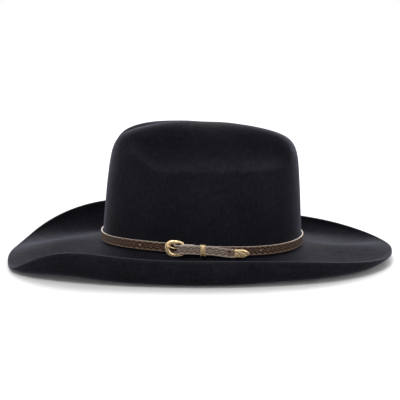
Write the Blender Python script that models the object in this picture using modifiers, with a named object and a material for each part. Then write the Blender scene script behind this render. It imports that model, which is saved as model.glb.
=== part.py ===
"""A western felt hat with a buckled leather band: crown and brim of one felt, leather sweatband
with its reed, satin lining, and a three-piece buckle set on a tooled strap.

Frame: the origin is the centre of the head opening, level with the reed of the sweatband.
+Z is up, -X is the front of the hat, -Y is the wearer's left, where the buckle sits."""

import math

import bmesh
import bpy
from mathutils import Vector

MM = 0.001
TAU = 2 * math.pi

# Driving dimensions of the felt
FELT = 2.5 * MM
CROWN_FRONT = 104.1 * MM
CROWN_BACK = 104.1 * MM
CROWN_HALF_WIDTH = 86.0 * MM
CROWN_TOP = 128.0 * MM
BREAK_HEIGHT = 2.0 * MM
BREAK_TILT = 2.9 * MM
BRIM_LENGTH = 398.1 * MM
BRIM_WIDTH = 291.0 * MM
BRIM_CENTRE = -1.65 * MM
BRIM_BLUNT = 2.9 * MM
BRIM_WAVES = (2.3, -0.55, -10.6, -3.0, 0.25, 0.8, 0.85)
BRIM_LEANS = (-1.9, -2.7, 1.5, 4.1, 2.1)
BELLY_WAVES = (2.9, 1.0, 0.0, 2.0, -1.0)
GAP = 0.3 * MM

# Creases
CREASE_DEPTH = 24.0 * MM
CREASE_WIDTH = 13.0 * MM
DENT_DEPTH = 17.0 * MM
DENT_FLOOR = 82.0 * MM

# Hatband and buckle set
STRAP_HEIGHT = 8.8 * MM
STRAP_SEAT = 2.4 * MM
STRAP_THICK = 1.3 * MM
STRAP_LIFT = 1.9 * MM
BILLET_HEIGHT = 8.4 * MM
FLAT_OFFSET = STRAP_THICK / 2 + 0.4 * MM
BAR_PLACE = -18.8 * MM
BAR_RADIUS = 0.9 * MM
BAR_OFFSET = 2.7 * MM
LOOP_RADIUS = BAR_RADIUS + 0.2 * MM + STRAP_THICK / 2
FRAME_REACH = 15.0 * MM
FRAME_SHOULDER = 8.0 * MM
FRAME_HALF_HEIGHT = 6.6 * MM
FRAME_WIDTH = 4.8 * MM
ARM_WIDTH = 3.4 * MM
FRAME_ARCH = 1.3 * MM
FRAME_THICK = 2.4 * MM
PRONG_RADIUS = 0.6 * MM
PRONG_LENGTH = 16.4 * MM
PRONG_RISE = 4.0 * MM
KEEPER_PLACE = 0.4 * MM
KEEPER_WIDTH = 5.4 * MM
TIP_START = 31.5 * MM
TIP_LENGTH = 14.9 * MM
TIP_SAG = 2.0 * MM
TIP_HEIGHT = 8.0 * MM
BILLET_END = TIP_START + 10.0 * MM
PUNCHED_HOLE = 25.7 * MM
TACK_FRONT = -63.2 * MM
TACK_BACK = 59.0 * MM

# Inside of the hat
SWEATBAND_HEIGHT = 48.0 * MM
SWEATBAND_THICK = 0.9 * MM
REED_RADIUS = 0.8 * MM
LINING_DEPTH = 3.3 * MM
LINING_THICK = 0.4 * MM
TIP_DEPTH = 4.8 * MM
PROTECTOR_DEPTH = 7.2 * MM
PROTECTOR_THICK = 0.3 * MM
PIPING_RADIUS = 0.8 * MM

AROUND = 60
CROWN_RINGS = 18
BRIM_RINGS = 9
TIP_RING = 11


def clear_scene():
    for obj in list(bpy.data.objects):
        bpy.data.objects.remove(obj, do_unlink=True)


def new_collection(name):
    collection = bpy.data.collections.new(name)
    bpy.context.scene.collection.children.link(collection)
    return collection


def material(name, colour, roughness, metallic=0.0):
    made = bpy.data.materials.new(name)
    made.use_nodes = True
    shader = made.node_tree.nodes["Principled BSDF"]
    shader.inputs["Base Color"].default_value = (*colour, 1.0)
    shader.inputs["Roughness"].default_value = roughness
    shader.inputs["Metallic"].default_value = metallic
    return made


def smooth(value):
    """0 below 0, 1 above 1, with a soft rise between."""
    value = min(max(value, 0.0), 1.0)
    return value * value * (3 - 2 * value)


def boxy(turn, power):
    """Reach at this turn of a rounded square: the higher the power, the sharper its corners."""
    return (abs(math.cos(turn)) ** power + abs(math.sin(turn)) ** power) ** (-1 / power)


def oval(angle, front, back, half_width, square):
    """Point of a rounded oval. Angle 0 is the front and a quarter turn is the wearer's left."""
    swell = math.cos(angle) - square * math.cos(3 * angle)
    middle = (back - front) / 2
    length = (back + front) / 2
    side = math.sin(angle) + square * math.sin(3 * angle)
    return Vector((middle - length * swell / (1 - square), -half_width * side / (1 - square), 0))


def break_height(angle):
    """Height of the line where crown and brim meet: highest in front, and arched over the ears."""
    wave = 1.0 * math.cos(2 * angle) + 1.1 * math.cos(3 * angle)
    return BREAK_HEIGHT + BREAK_TILT * math.cos(angle) - wave * MM


def crown_section(angle, rise):
    """Horizontal outline of the uncreased crown at a height above the brim."""
    front = CROWN_FRONT - 0.05 * rise - 0.35 * rise * rise - 0.9 * rise**3
    back = CROWN_BACK - 0.03 * rise - 0.1 * rise * rise
    width = CROWN_HALF_WIDTH - 0.02 * rise - 0.95 * rise * rise
    return oval(angle, front, back, width, 0.01 + 3.5 * rise * rise)


def crown_ridge(x):
    """Height of the crown's top line: level in the middle, lower at both ends."""
    drop = 1.9 if x < -0.0121 else 1.55
    return CROWN_TOP - drop * (x + 0.0121) ** 2


def crease(point):
    """The centre crease: deepest behind the front of the crown, running out towards the back."""
    along = smooth((point.x + 0.0961) / 0.022) * (1 - smooth((point.x - 0.0129) / 0.07))
    across = math.exp(-((point.y / CREASE_WIDTH) ** 2))
    return CREASE_DEPTH * along * across


def dent(point):
    """The hollow along each side of the crown, with a rounded lower front corner."""
    floor = DENT_FLOOR + 0.015 * smooth((-0.040 - point.x) / 0.030)
    along = smooth((point.x + 0.087) / 0.036) * (1 - smooth((point.x - 0.0719) / 0.018))
    up = smooth((point.z - floor) / 0.015) * (1 - 0.9 * smooth((point.z - 0.098) / 0.03))
    return DENT_DEPTH * along * up * smooth(abs(point.y) / 0.03)


def even_spacing(lift):
    """Crowds the rings of the crown where the dents and ridges are."""
    crowded = 0.42
    return lift - 0.09 * (math.sin(TAU * (lift - crowded)) + math.sin(TAU * crowded))


def crown_point(angle, lift):
    """Outer surface of the crown. Lift 0 is the brim line and lift 1 is the middle of the top."""
    ahead = max(math.cos(angle), 0.0) ** 2
    power = 4 + 8 * math.cos(angle) ** 2 + 4 * ahead
    turn = even_spacing(lift) * math.pi / 2
    level, rise = max(math.cos(turn), 0.0), math.sin(turn)
    swell = boxy(turn, power)
    inward, upward = level * swell, rise * swell
    base = break_height(angle)
    section = crown_section(angle, upward * (CROWN_TOP - base))
    point = section * inward
    point.z = base + upward * (crown_ridge(point.x) - base)
    push = dent(point)
    point.z -= crease(point)
    lean = 0.045 + 0.05 * smooth((point.x + 0.0721) / 0.05)
    point.z -= lean * point.y * upward**4
    point.y -= math.copysign(push, point.y)
    return point


def waves(angle, sizes):
    """Whole waves round the hat, none in the first size, one in the second, and so on."""
    return sum(size * math.cos(count * angle) for count, size in enumerate(sizes))


def corner(angle, place):
    """A short bump in the cut edge, as a hand leaves it."""
    return math.exp((math.cos(angle - place) - 1) / 0.05)


def brim_edge(angle):
    """The cut edge: dipped front and back, rolled up along both sides."""
    ahead = (1 + math.cos(angle)) / 2
    square = 0.012 + 0.039 * ahead
    reach = BRIM_LENGTH / 2
    front = reach - BRIM_CENTRE + BRIM_BLUNT
    point = oval(angle, front, reach + BRIM_CENTRE, BRIM_WIDTH / 2, square)
    point.x += BRIM_BLUNT * ahead**16
    height = waves(angle, BRIM_WAVES) + math.sin(angle) * (5 * ahead**8 + waves(angle, BRIM_LEANS))
    point.z = (height + 13.5 * corner(angle, 0.95) - 4.3 * corner(angle, 0.5)) * MM
    return point


def brim_belly(angle):
    """How much the brim's middle is held up above its plain curve."""
    return waves(angle, BELLY_WAVES) * MM


def brim_point(angle, reach):
    """Outer surface of the brim. Reach 0 is the crown and reach 1 is the cut edge."""
    inner = oval(angle, CROWN_FRONT, CROWN_BACK, CROWN_HALF_WIDTH, 0.01)
    inner.z = break_height(angle)
    edge = brim_edge(angle)
    sine = math.sin(angle) ** 2
    rolled = 1.12 * sine / (sine + 0.12)
    start_z = inner.z - (0.018 * rolled + 0.003 * (1 - rolled))
    bend = 1.07 * rolled + 0.66 * (1 - rolled)
    bend_z = -0.0294 * rolled + (edge.z + 0.0027) * (1 - rolled)
    left = 1 - reach
    first = 3 * left * left * reach
    second = 3 * left * reach * reach
    last = reach**3
    point = inner + (edge - inner) * (0.33 * first + bend * second + last)
    point.z = left**3 * inner.z + first * start_z + second * bend_z + last * edge.z
    point.z += brim_belly(angle) * 4 * left * reach
    return point


def felt_point(angle, step):
    """Outer surface of the whole hat: step -1 is the top's middle, 0 the break, 1 the cut edge."""
    return crown_point(angle, -step) if step < 0 else brim_point(angle, step)


def felt_inside(angle, step, depth):
    """A point this deep behind the felt's outer surface."""
    nudge = 0.03
    low = max(step - nudge, -0.97)
    along = felt_point(angle, low + 2 * nudge) - felt_point(angle, low)
    around = felt_point(angle + nudge, low + nudge) - felt_point(angle - nudge, low + nudge)
    normal = along.cross(around).normalized()
    return felt_point(angle, step) - normal * depth


def finish(obj, collection, look):
    collection.objects.link(obj)
    obj.data.materials.append(look)
    obj.data.shade_smooth()
    obj.data.set_sharp_from_angle(angle=math.radians(40))
    return obj


def grid_object(name, rows, closed_row, pole=None):
    """A sheet through rows of points. A pole closes the sheet in front of its first row."""
    mesh = bmesh.new()
    rings = [[mesh.verts.new(point) for point in row] for row in rows]
    count = len(rings[0])
    pairs = [(i, (i + 1) % count) for i in range(count if closed_row else count - 1)]
    for upper, lower in zip(rings, rings[1:]):
        for i, j in pairs:
            mesh.faces.new((upper[i], lower[i], lower[j], upper[j]))
    if pole is not None:
        top = mesh.verts.new(pole)
        for i, j in pairs:
            mesh.faces.new((top, rings[0][i], rings[0][j]))
    data = bpy.data.meshes.new(name)
    mesh.to_mesh(data)
    mesh.free()
    return bpy.data.objects.new(name, data)


def solid_ring(name, section, place):
    """A closed ring: the section's points, placed at each angle round the hat."""
    rows = [[place(TAU * i / AROUND, *point) for point in section] for i in range(AROUND)]
    return tube(name, rows, True)


def solidify(obj, thickness):
    """Thickens a sheet behind its outer surface."""
    shell = obj.modifiers.new("thickness", "SOLIDIFY")
    shell.thickness = thickness
    shell.offset = -1.0


def crown_steps(first, last):
    """Steps of the crown's rings, counted from the one next to the middle of the top."""
    return [i / CROWN_RINGS - 1 for i in range(first, last + 1)]


def felt_rows(steps, depth=0.0):
    angles = [TAU * i / AROUND for i in range(AROUND)]
    return [[felt_inside(angle, step, depth) for angle in angles] for step in steps]


def make_felt(collection):
    brim = [i / BRIM_RINGS for i in range(1, BRIM_RINGS + 1)]
    angles = [TAU * i / AROUND for i in range(AROUND)]
    rows = [[felt_point(angle, step) for angle in angles] for step in crown_steps(1, CROWN_RINGS) + brim]
    obj = grid_object("felt_body", rows, True, felt_point(0.0, -1.0))
    solidify(obj, FELT)
    return finish(obj, collection, material("felt", (0.012, 0.012, 0.016), 0.95))


def make_lining(collection):
    """Satin side band and oval tip, with a piping cord over their seam and a clear sheet under the tip."""
    satin = material("satin lining", (0.16, 0.15, 0.16), 0.35)
    side_rows = felt_rows(crown_steps(TIP_RING, CROWN_RINGS - 1), LINING_DEPTH)
    side = grid_object("lining_side_band", side_rows, True)
    solidify(side, LINING_THICK)
    finish(side, collection, satin)
    tip_rows = felt_rows(crown_steps(1, TIP_RING - 1), TIP_DEPTH)
    tip = grid_object("lining_tip", tip_rows, True, felt_inside(0.0, -1.0, TIP_DEPTH))
    solidify(tip, LINING_THICK)
    finish(tip, collection, satin)
    clear_rows = felt_rows(crown_steps(1, TIP_RING - 3), PROTECTOR_DEPTH)
    clear = grid_object("tip_protector", clear_rows, True, felt_inside(0.0, -1.0, PROTECTOR_DEPTH))
    solidify(clear, PROTECTOR_THICK)
    finish(clear, collection, material("clear sheet", (0.9, 0.9, 0.9), 0.08))
    seam = TIP_RING / CROWN_RINGS - 1 - 0.5 / CROWN_RINGS
    centre_depth = TIP_DEPTH + LINING_THICK + 2 * GAP + PIPING_RADIUS
    rows = []
    for i in range(AROUND):
        angle = TAU * i / AROUND
        centre = felt_inside(angle, seam, centre_depth)
        outward = (felt_inside(angle, seam, LINING_DEPTH) - centre).normalized()
        along = felt_inside(angle + 0.02, seam, centre_depth) - centre
        across = outward.cross(along).normalized()
        spokes = [outward * math.cos(TAU * j / 6) + across * math.sin(TAU * j / 6) for j in range(6)]
        rows.append([centre + spoke * PIPING_RADIUS for spoke in spokes])
    piping = tube("lining_piping", rows, True)
    finish(piping, collection, satin)


def wall_point(angle, depth, height):
    """A point this deep inside the crown's wall at a height, straight inwards from its surface."""
    rise = max(height - break_height(angle), 0.0)
    section = crown_section(angle, rise)
    ahead = crown_section(angle + 0.01, rise)
    run = (ahead - section).normalized()
    inward = Vector((-run.y, run.x, 0))
    return Vector((section.x, section.y, height)) + inward * depth


def make_sweatband(collection):
    """The leather band against the head: its foot folds outwards and up round the reed."""
    top_outer = LINING_DEPTH + LINING_THICK + 0.9 * MM
    top_inner = top_outer + SWEATBAND_THICK
    hollow = REED_RADIUS + GAP
    turn = hollow + SWEATBAND_THICK
    middle = FELT + GAP + turn
    half_turn = [i * math.pi / 5 for i in range(6)]
    fold = [(middle + turn * math.cos(a), -turn * math.sin(a)) for a in half_turn]
    inside = [(middle + hollow * math.cos(a), -hollow * math.sin(a)) for a in half_turn]
    wall = [(top_outer, SWEATBAND_HEIGHT), (top_inner, SWEATBAND_HEIGHT), (top_inner, 15 * MM)]
    flap = [(middle - turn, 3 * MM), (middle - hollow, 3 * MM)]
    section = wall + fold + flap + inside[::-1] + [(top_outer, 15 * MM)]
    band = solid_ring("sweatband", section, wall_point)
    finish(band, collection, material("sweatband leather", (0.09, 0.045, 0.02), 0.5))
    turns = [TAU * i / 8 for i in range(8)]
    cord = [(middle + REED_RADIUS * math.cos(a), REED_RADIUS * math.sin(a)) for a in turns]
    reed = solid_ring("sweatband_reed", cord, wall_point)
    finish(reed, collection, material("reed plastic", (0.75, 0.74, 0.7), 0.4))
    near, deep = FELT + GAP, FELT + GAP + 0.6 * MM
    foot, head = 3.6 * MM, 9 * MM
    tape = solid_ring("reed_tape", [(near, foot), (near, head), (deep, head), (deep, foot)], wall_point)
    finish(tape, collection, material("reed tape", (0.05, 0.05, 0.06), 0.8))


def strap_reference(angle):
    """The crown's outline under the hatband."""
    return crown_section(angle, 2 * MM)


def arc_table(steps):
    """Angles and the distance of each along the outline, counted from the wearer's left side."""
    start = math.pi / 2
    angles = [start + TAU * (i - steps) / steps for i in range(2 * steps + 1)]
    points = [strap_reference(angle) for angle in angles]
    lengths = [0.0]
    for one, two in zip(points, points[1:]):
        lengths.append(lengths[-1] + (two - one).length)
    middle = lengths[steps]
    return angles, [length - middle for length in lengths]


ANGLES, ARCS = arc_table(720)
AROUND_CROWN = ARCS[-1]


def angle_at(arc):
    """Angle of a place this far along the outline from the wearer's left side, backwards positive."""
    place = (arc - ARCS[0]) / (ARCS[-1] - ARCS[0]) * (len(ARCS) - 1)
    low = min(max(int(place), 0), len(ARCS) - 2)
    while low > 0 and ARCS[low] > arc:
        low -= 1
    while low < len(ARCS) - 2 and ARCS[low + 1] < arc:
        low += 1
    share = (arc - ARCS[low]) / (ARCS[low + 1] - ARCS[low])
    return ANGLES[low] + (ANGLES[low + 1] - ANGLES[low]) * share


def outward_at(angle):
    run = strap_reference(angle + 0.005) - strap_reference(angle - 0.005)
    return Vector((run.y, -run.x, 0)).normalized()


def on_band(arc, offset, up):
    """Place by distance along the crown, distance out from the felt and height from the strap's middle."""
    angle = angle_at(arc)
    point = strap_reference(angle) + outward_at(angle) * offset
    point.z = break_height(angle) + STRAP_SEAT + STRAP_HEIGHT / 2 + up
    return point


def base_offset(arc):
    """Centre of the strap's under layer. It stands off the felt where the fold and keeper are behind it."""
    settle = smooth((arc - BAR_PLACE) / (8 * MM))
    lifted = STRAP_LIFT + STRAP_THICK / 2
    near_bar = BAR_OFFSET + LOOP_RADIUS
    flat = lifted - (lifted - FLAT_OFFSET) * smooth((arc - TIP_START + 10 * MM) / (9 * MM))
    return near_bar * (1 - settle) + flat * settle


def billet_offset(arc):
    """Centre of the strap's free end: from the felt over the heel bar, then down on the under layer."""
    over_bar = BAR_OFFSET + LOOP_RADIUS + STRAP_THICK + 3 * GAP
    lying = STRAP_LIFT + STRAP_THICK * 1.5 + 0.4 * MM
    climb = smooth((arc - BAR_PLACE + 12.0 * MM) / (6.6 * MM))
    settle = smooth((arc - BAR_PLACE - 1.5 * MM) / (8 * MM))
    lower = 0.7 * MM * smooth((arc - TIP_START + 10 * MM) / (9 * MM))
    return FLAT_OFFSET + (over_bar - FLAT_OFFSET) * climb - (over_bar - lying) * settle - lower


def billet_sag(arc):
    """The free end hangs a little lower than the under layer."""
    return -TIP_SAG * smooth((arc - TIP_START + 24 * MM) / (24 * MM))


def billet_half_height(arc):
    narrow = smooth((arc - BAR_PLACE + 16 * MM) / (5 * MM))
    inside_tip = smooth((arc - TIP_START + 1.6 * MM) / (1.2 * MM))
    pointed = smooth((arc - BILLET_END + 4 * MM) / (5 * MM))
    half = (STRAP_HEIGHT - (STRAP_HEIGHT - BILLET_HEIGHT) * narrow) / 2
    return half - 1.2 * MM * inside_tip - 1.4 * MM * pointed


def strap_path():
    """(arc, offset, sag, half height) of the strap: its folded end, round the crown, its free end."""
    full = STRAP_HEIGHT / 2
    tail = [(BAR_PLACE + (10.6 - i * 2.1) * MM, BAR_OFFSET - LOOP_RADIUS, 0.0, full) for i in range(6)]
    loop = []
    for i in range(1, 10):
        turn = -math.pi / 2 - i * math.pi / 10
        sideways, outwards = LOOP_RADIUS * math.cos(turn), LOOP_RADIUS * math.sin(turn)
        loop.append((BAR_PLACE + sideways, BAR_OFFSET + outwards, 0.0, full))
    under_places = [BAR_PLACE + i * 2 * MM for i in range(26)]
    under = [(arc, base_offset(arc), 0.0, full) for arc in under_places]
    start, end = BAR_PLACE + 58 * MM, AROUND_CROWN + BAR_PLACE - 20 * MM
    count = 54
    far = [(start + (end - start) * i / count, FLAT_OFFSET, 0.0, full) for i in range(count + 1)]
    places = [BAR_PLACE + (i * 1.1 - 14.3) * MM for i in range(20)]
    places += [places[-1] + (i + 1) * 4 * MM for i in range(10)]
    places += [TIP_START - 1.6 * MM, TIP_START - 0.4 * MM]
    places += [BILLET_END - 4 * MM, BILLET_END - 1.5 * MM, BILLET_END]
    billet = [(arc, billet_offset(arc), billet_sag(arc), billet_half_height(arc)) for arc in places]
    return tail + loop + under + far + billet


def swept_strip(name, path, half_thick):
    """A strip with square ends along (centre, outward direction, half height)."""
    rows = []
    for centre, outward, half_height in path:
        across = outward * half_thick
        up = Vector((0, 0, half_height))
        near, outer = centre - across, centre + across
        rows.append((near - up, outer - up, outer + up, near + up))
    return tube(name, rows, False)


def mesh_object(name, mesh):
    bmesh.ops.recalc_face_normals(mesh, faces=mesh.faces)
    data = bpy.data.meshes.new(name)
    mesh.to_mesh(data)
    mesh.free()
    return bpy.data.objects.new(name, data)


def tube(name, rows, closed):
    """A tube through rings of points, either closed on itself or capped at both ends."""
    mesh = bmesh.new()
    rings = [[mesh.verts.new(point) for point in row] for row in rows]
    count = len(rings[0])
    pairs = list(zip(rings, rings[1:]))
    if closed:
        pairs.append((rings[-1], rings[0]))
    for one, two in pairs:
        for i in range(count):
            j = (i + 1) % count
            mesh.faces.new((one[i], one[j], two[j], two[i]))
    if not closed:
        mesh.faces.new(rings[0])
        mesh.faces.new(rings[-1])
    return mesh_object(name, mesh)


def cut(obj, cutter):
    boolean = obj.modifiers.new(cutter.name, "BOOLEAN")
    boolean.object = cutter
    boolean.operation = "DIFFERENCE"


def as_cutter(obj, collection):
    collection.objects.link(obj)
    obj.hide_render = True
    obj.display_type = "WIRE"
    return obj


def band_box(name, arcs, offsets, half_height, collection):
    """A cutter: a block in the band's own coordinates."""
    rows = []
    for arc in arcs:
        corners = ((offsets[0], -1), (offsets[1], -1), (offsets[1], 1), (offsets[0], 1))
        rows.append([on_band(arc, offset, side * half_height) for offset, side in corners])
    return as_cutter(tube(name, rows, False), collection)


def band_pin(name, arc, profile):
    """A turned shape on an axis square to the band: (offset, radius) pairs from the felt outwards."""
    rows = []
    for offset, radius in profile:
        turns = [TAU * i / 10 for i in range(10)]
        rows.append([on_band(arc + radius * math.cos(t), offset, radius * math.sin(t)) for t in turns])
    return tube(name, rows, False)


def tack_places():
    far = AROUND_CROWN / 2
    return (
        ("band_tack_front_left", TACK_FRONT),
        ("band_tack_back_left", TACK_BACK),
        ("band_tack_back_right", far - TACK_BACK),
        ("band_tack_front_right", far - TACK_FRONT),
    )


def make_strap(collection, cutters):
    points = [(on_band(arc, offset, sag), half) for arc, offset, sag, half in strap_path()]
    path = []
    for i, (place, half) in enumerate(points):
        run = points[min(i + 1, len(points) - 1)][0] - points[max(i - 1, 0)][0]
        path.append((place, Vector((run.y, -run.x, 0)).normalized(), half))
    strap = swept_strip("hatband_strap", path, STRAP_THICK / 2)
    finish(strap, collection, material("tooled leather", (0.14, 0.09, 0.06), 0.5))
    hole = (BAR_PLACE - 10.0 * MM, BAR_PLACE - 4.9 * MM)
    cut(strap, band_box("prong_hole", hole, (1.9 * MM, 7.6 * MM), 1.5 * MM, cutters))
    punched = [(STRAP_LIFT + STRAP_THICK + 0.1 * MM, 0.9 * MM), (STRAP_LIFT + 4 * STRAP_THICK, 0.9 * MM)]
    cut(strap, as_cutter(band_pin("punched_hole", PUNCHED_HOLE, punched), cutters))
    fold = (BAR_PLACE - 2.6 * MM, BAR_PLACE + 3.2 * MM)
    cut(strap, band_box("fold_slot", fold, (-0.2 * MM, 5.3 * MM), 1.3 * MM, cutters))
    for name, arc in tack_places():
        hole = [(-0.3 * MM, 0.6 * MM), (2.6 * MM, 0.6 * MM)]
        cut(strap, as_cutter(band_pin(name + "_hole", arc, hole), cutters))


def frame_path():
    """(arc, height, half width) round the buckle: a crescent whose ends hold the thin heel bar."""
    middle = BAR_PLACE - FRAME_SHOULDER
    path = []
    for i in range(17):
        turn = math.pi / 2 + math.pi * i / 16
        swell = boxy(turn, 2.3)
        half = ARM_WIDTH / 2 - (FRAME_WIDTH - ARM_WIDTH) / 2 * math.cos(turn)
        reach = (FRAME_REACH - FRAME_SHOULDER) * swell
        path.append((middle + reach * math.cos(turn), FRAME_HALF_HEIGHT * swell * math.sin(turn), half))
    end = []
    for distance, height, half in ((5.4, 6.6, 1.6), (3.2, 6.45, 1.35), (1.4, 6.2, 1.1), (0.3, 5.9, 0.95)):
        end.append((BAR_PLACE - distance * MM, -height * MM, half * MM))
    end += [(BAR_PLACE, -5.3 * MM, BAR_RADIUS), (BAR_PLACE, -1.8 * MM, BAR_RADIUS)]
    return path + end + [(arc, -height, half) for arc, height, half in reversed(end)]


def frame_offset(arc):
    """The frame arches outwards from the heel bar, over the strap that comes up through it."""
    return BAR_OFFSET + FRAME_ARCH * min(max((BAR_PLACE - arc) / FRAME_REACH, 0.0), 1.0)


def make_buckle(collection, gold):
    path = frame_path()
    rows = []
    for i, (arc, height, half) in enumerate(path):
        ahead, behind = path[(i + 1) % len(path)], path[i - 1]
        run = Vector((ahead[0] - behind[0], ahead[1] - behind[1])).normalized()
        thick = min(FRAME_THICK / 2, half)
        ring = []
        for j in range(8):
            turn = TAU * j / 8
            across = half * math.cos(turn)
            offset = frame_offset(arc) + thick * math.sin(turn)
            ring.append(on_band(arc + run.y * across, offset, height - run.x * across))
        rows.append(ring)
    finish(tube("buckle_frame", rows, True), collection, gold)


def make_prong(collection, gold):
    """The prong: an eye round the heel bar, and a tapered pin that lies on the frame's far side."""
    eye = BAR_RADIUS + 0.25 * MM + PRONG_RADIUS
    path = []
    for i in range(12):
        turn = math.radians(-170 + i * 260 / 11)
        arc, offset = BAR_PLACE + eye * math.cos(turn), BAR_OFFSET + eye * math.sin(turn)
        path.append((arc, offset, 0.0, PRONG_RADIUS))
    for share in (0.2, 0.45, 0.7, 0.88, 1.0):
        arc = BAR_PLACE - PRONG_LENGTH * share
        offset = BAR_OFFSET + eye + 1.6 * MM * share
        path.append((arc, offset, PRONG_RISE * share**3, PRONG_RADIUS * (1 - 0.45 * share**3)))
    rows = []
    for i, (arc, offset, rise, radius) in enumerate(path):
        ahead, behind = path[min(i + 1, len(path) - 1)], path[max(i - 1, 0)]
        run = Vector((ahead[0] - behind[0], ahead[1] - behind[1])).normalized()
        ring = []
        for j in range(8):
            side, up = radius * math.cos(TAU * j / 8), radius * math.sin(TAU * j / 8)
            ring.append(on_band(arc - run.y * side, offset + run.x * side, rise + up))
        rows.append(ring)
    finish(tube("buckle_prong", rows, False), collection, gold)


def make_keeper(collection, gold):
    """A loop round both layers of strap, with two raised ridges round its outside."""
    inside = (STRAP_LIFT - 0.4 * MM, STRAP_LIFT + 2 * STRAP_THICK + 0.8 * MM)
    half_depth = (inside[1] - inside[0]) / 2
    half_height = STRAP_HEIGHT / 2 + 0.3 * MM
    middle = (inside[0] + inside[1]) / 2
    half_width = KEEPER_WIDTH / 2
    wall = 0.6 * MM
    ridge = 0.25 * MM
    shares = ((-1, wall), (-0.7, wall + ridge), (-0.4, wall), (0.4, wall), (0.7, wall + ridge), (1, wall))
    rows = []
    for i in range(24):
        turn = TAU * i / 24
        swell = boxy(turn, 24)
        offset, up = swell * math.cos(turn), swell * math.sin(turn)
        ring = []
        for share, thick in shares:
            place = KEEPER_PLACE + share * half_width
            ring.append(on_band(place, middle + offset * (half_depth + thick), up * (half_height + thick)))
        for share in (1, -1):
            place = KEEPER_PLACE + share * half_width
            ring.append(on_band(place, middle + offset * half_depth, up * half_height))
        rows.append(ring)
    finish(tube("strap_keeper", rows, True), collection, gold)


def tip_outline(share):
    """Half height of the metal tip along its length: parallel sides, then a point."""
    taper = max((share - 0.5) / 0.5, 0.0)
    return TIP_HEIGHT / 2 * max(1 - taper**1.7, 0.04)


def make_strap_tip(collection, gold):
    """A pointed metal cap with a pocket that takes the strap's free end."""
    rows = []
    pocket = BILLET_END + 0.4 * MM - TIP_START
    outer = [(share, 0.0) for share in (1.0, 0.95, 0.87, 0.77, 0.66, 0.5, 0.25, 0.0)]
    inner = [(share, 0.4 * MM) for share in (0.0, 0.25, 0.5, pocket / TIP_LENGTH)]
    for share, inset in outer + inner:
        arc = TIP_START + share * TIP_LENGTH
        half = tip_outline(share) - inset
        depth = (0.95 * MM if inset else 1.45 * MM) * (1.0 if share < 0.9 else 0.6)
        middle = billet_offset(min(arc, BILLET_END))
        ring = []
        for j in range(12):
            turn = TAU * (j + 0.5) / 12
            swell = boxy(turn, 10)
            offset = middle + depth * swell * math.cos(turn)
            ring.append(on_band(arc, offset, billet_sag(arc) + half * swell * math.sin(turn)))
        rows.append(ring)
    finish(tube("strap_tip", rows, False), collection, gold)


def make_tacks(collection):
    thread = material("tack thread", (0.4, 0.36, 0.3), 0.7)
    face = FLAT_OFFSET + STRAP_THICK / 2 + GAP
    shank, head = 0.3 * MM, 0.9 * MM
    profile = [(0.3 * MM, shank), (face, shank), (face, head)]
    profile += [(face + 0.3 * MM, 0.8 * head), (face + 0.5 * MM, 0.4 * head)]
    for name, arc in tack_places():
        finish(band_pin(name, arc, profile), collection, thread)


def make_bow(collection):
    """The small ribbon bow over the sweatband's seam, at the back."""
    curve = bpy.data.curves.new("sweatband_bow", "CURVE")
    curve.dimensions = "2D"
    curve.fill_mode = "BOTH"
    curve.extrude = 0.6 * MM
    half_length, knot, loop = 11 * MM, 1.3 * MM, 2.6 * MM
    places = [-1 + i / 8 for i in range(17)]
    tops = [(half_length * p, knot + loop * math.sin(math.pi * abs(p) ** 0.8)) for p in places]
    outline = tops + [(x, -y) for x, y in reversed(tops)]
    spline = curve.splines.new("POLY")
    spline.points.add(len(outline) - 1)
    for point, (x, y) in zip(spline.points, outline):
        point.co = (x, y, 0, 1)
    spline.use_cyclic_u = True
    bow = bpy.data.objects.new("sweatband_bow", curve)
    depth = LINING_DEPTH + LINING_THICK + SWEATBAND_THICK + 2.6 * MM
    bow.location = wall_point(math.pi, depth, 22 * MM)
    bow.rotation_euler = (math.pi / 2, 0, math.pi / 2)
    collection.objects.link(bow)
    curve.materials.append(material("ribbon", (0.03, 0.03, 0.035), 0.4))


def main():
    clear_scene()
    hat = new_collection("cowboy_hat")
    cutters = new_collection("cutters")
    gold = material("engraved gold", (0.72, 0.5, 0.2), 0.3, 1.0)
    make_felt(hat)
    make_lining(hat)
    make_sweatband(hat)
    make_bow(hat)
    make_strap(hat, cutters)
    make_buckle(hat, gold)
    make_prong(hat, gold)
    make_keeper(hat, gold)
    make_strap_tip(hat, gold)
    make_tacks(hat)


main()
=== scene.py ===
"""A western felt hat in its finished look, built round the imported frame: dense felt with its nap, a tooled
leather band with an engraved buckle set, thread tacks, and the leather, ribbon and satin inside.

Frame: the origin is the centre of the head opening. +Z is up, -X the front of the hat, and -Y the
wearer's left, where the buckle is. Angle 0 is the front, and a quarter turn the wearer's left."""

import math

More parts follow.
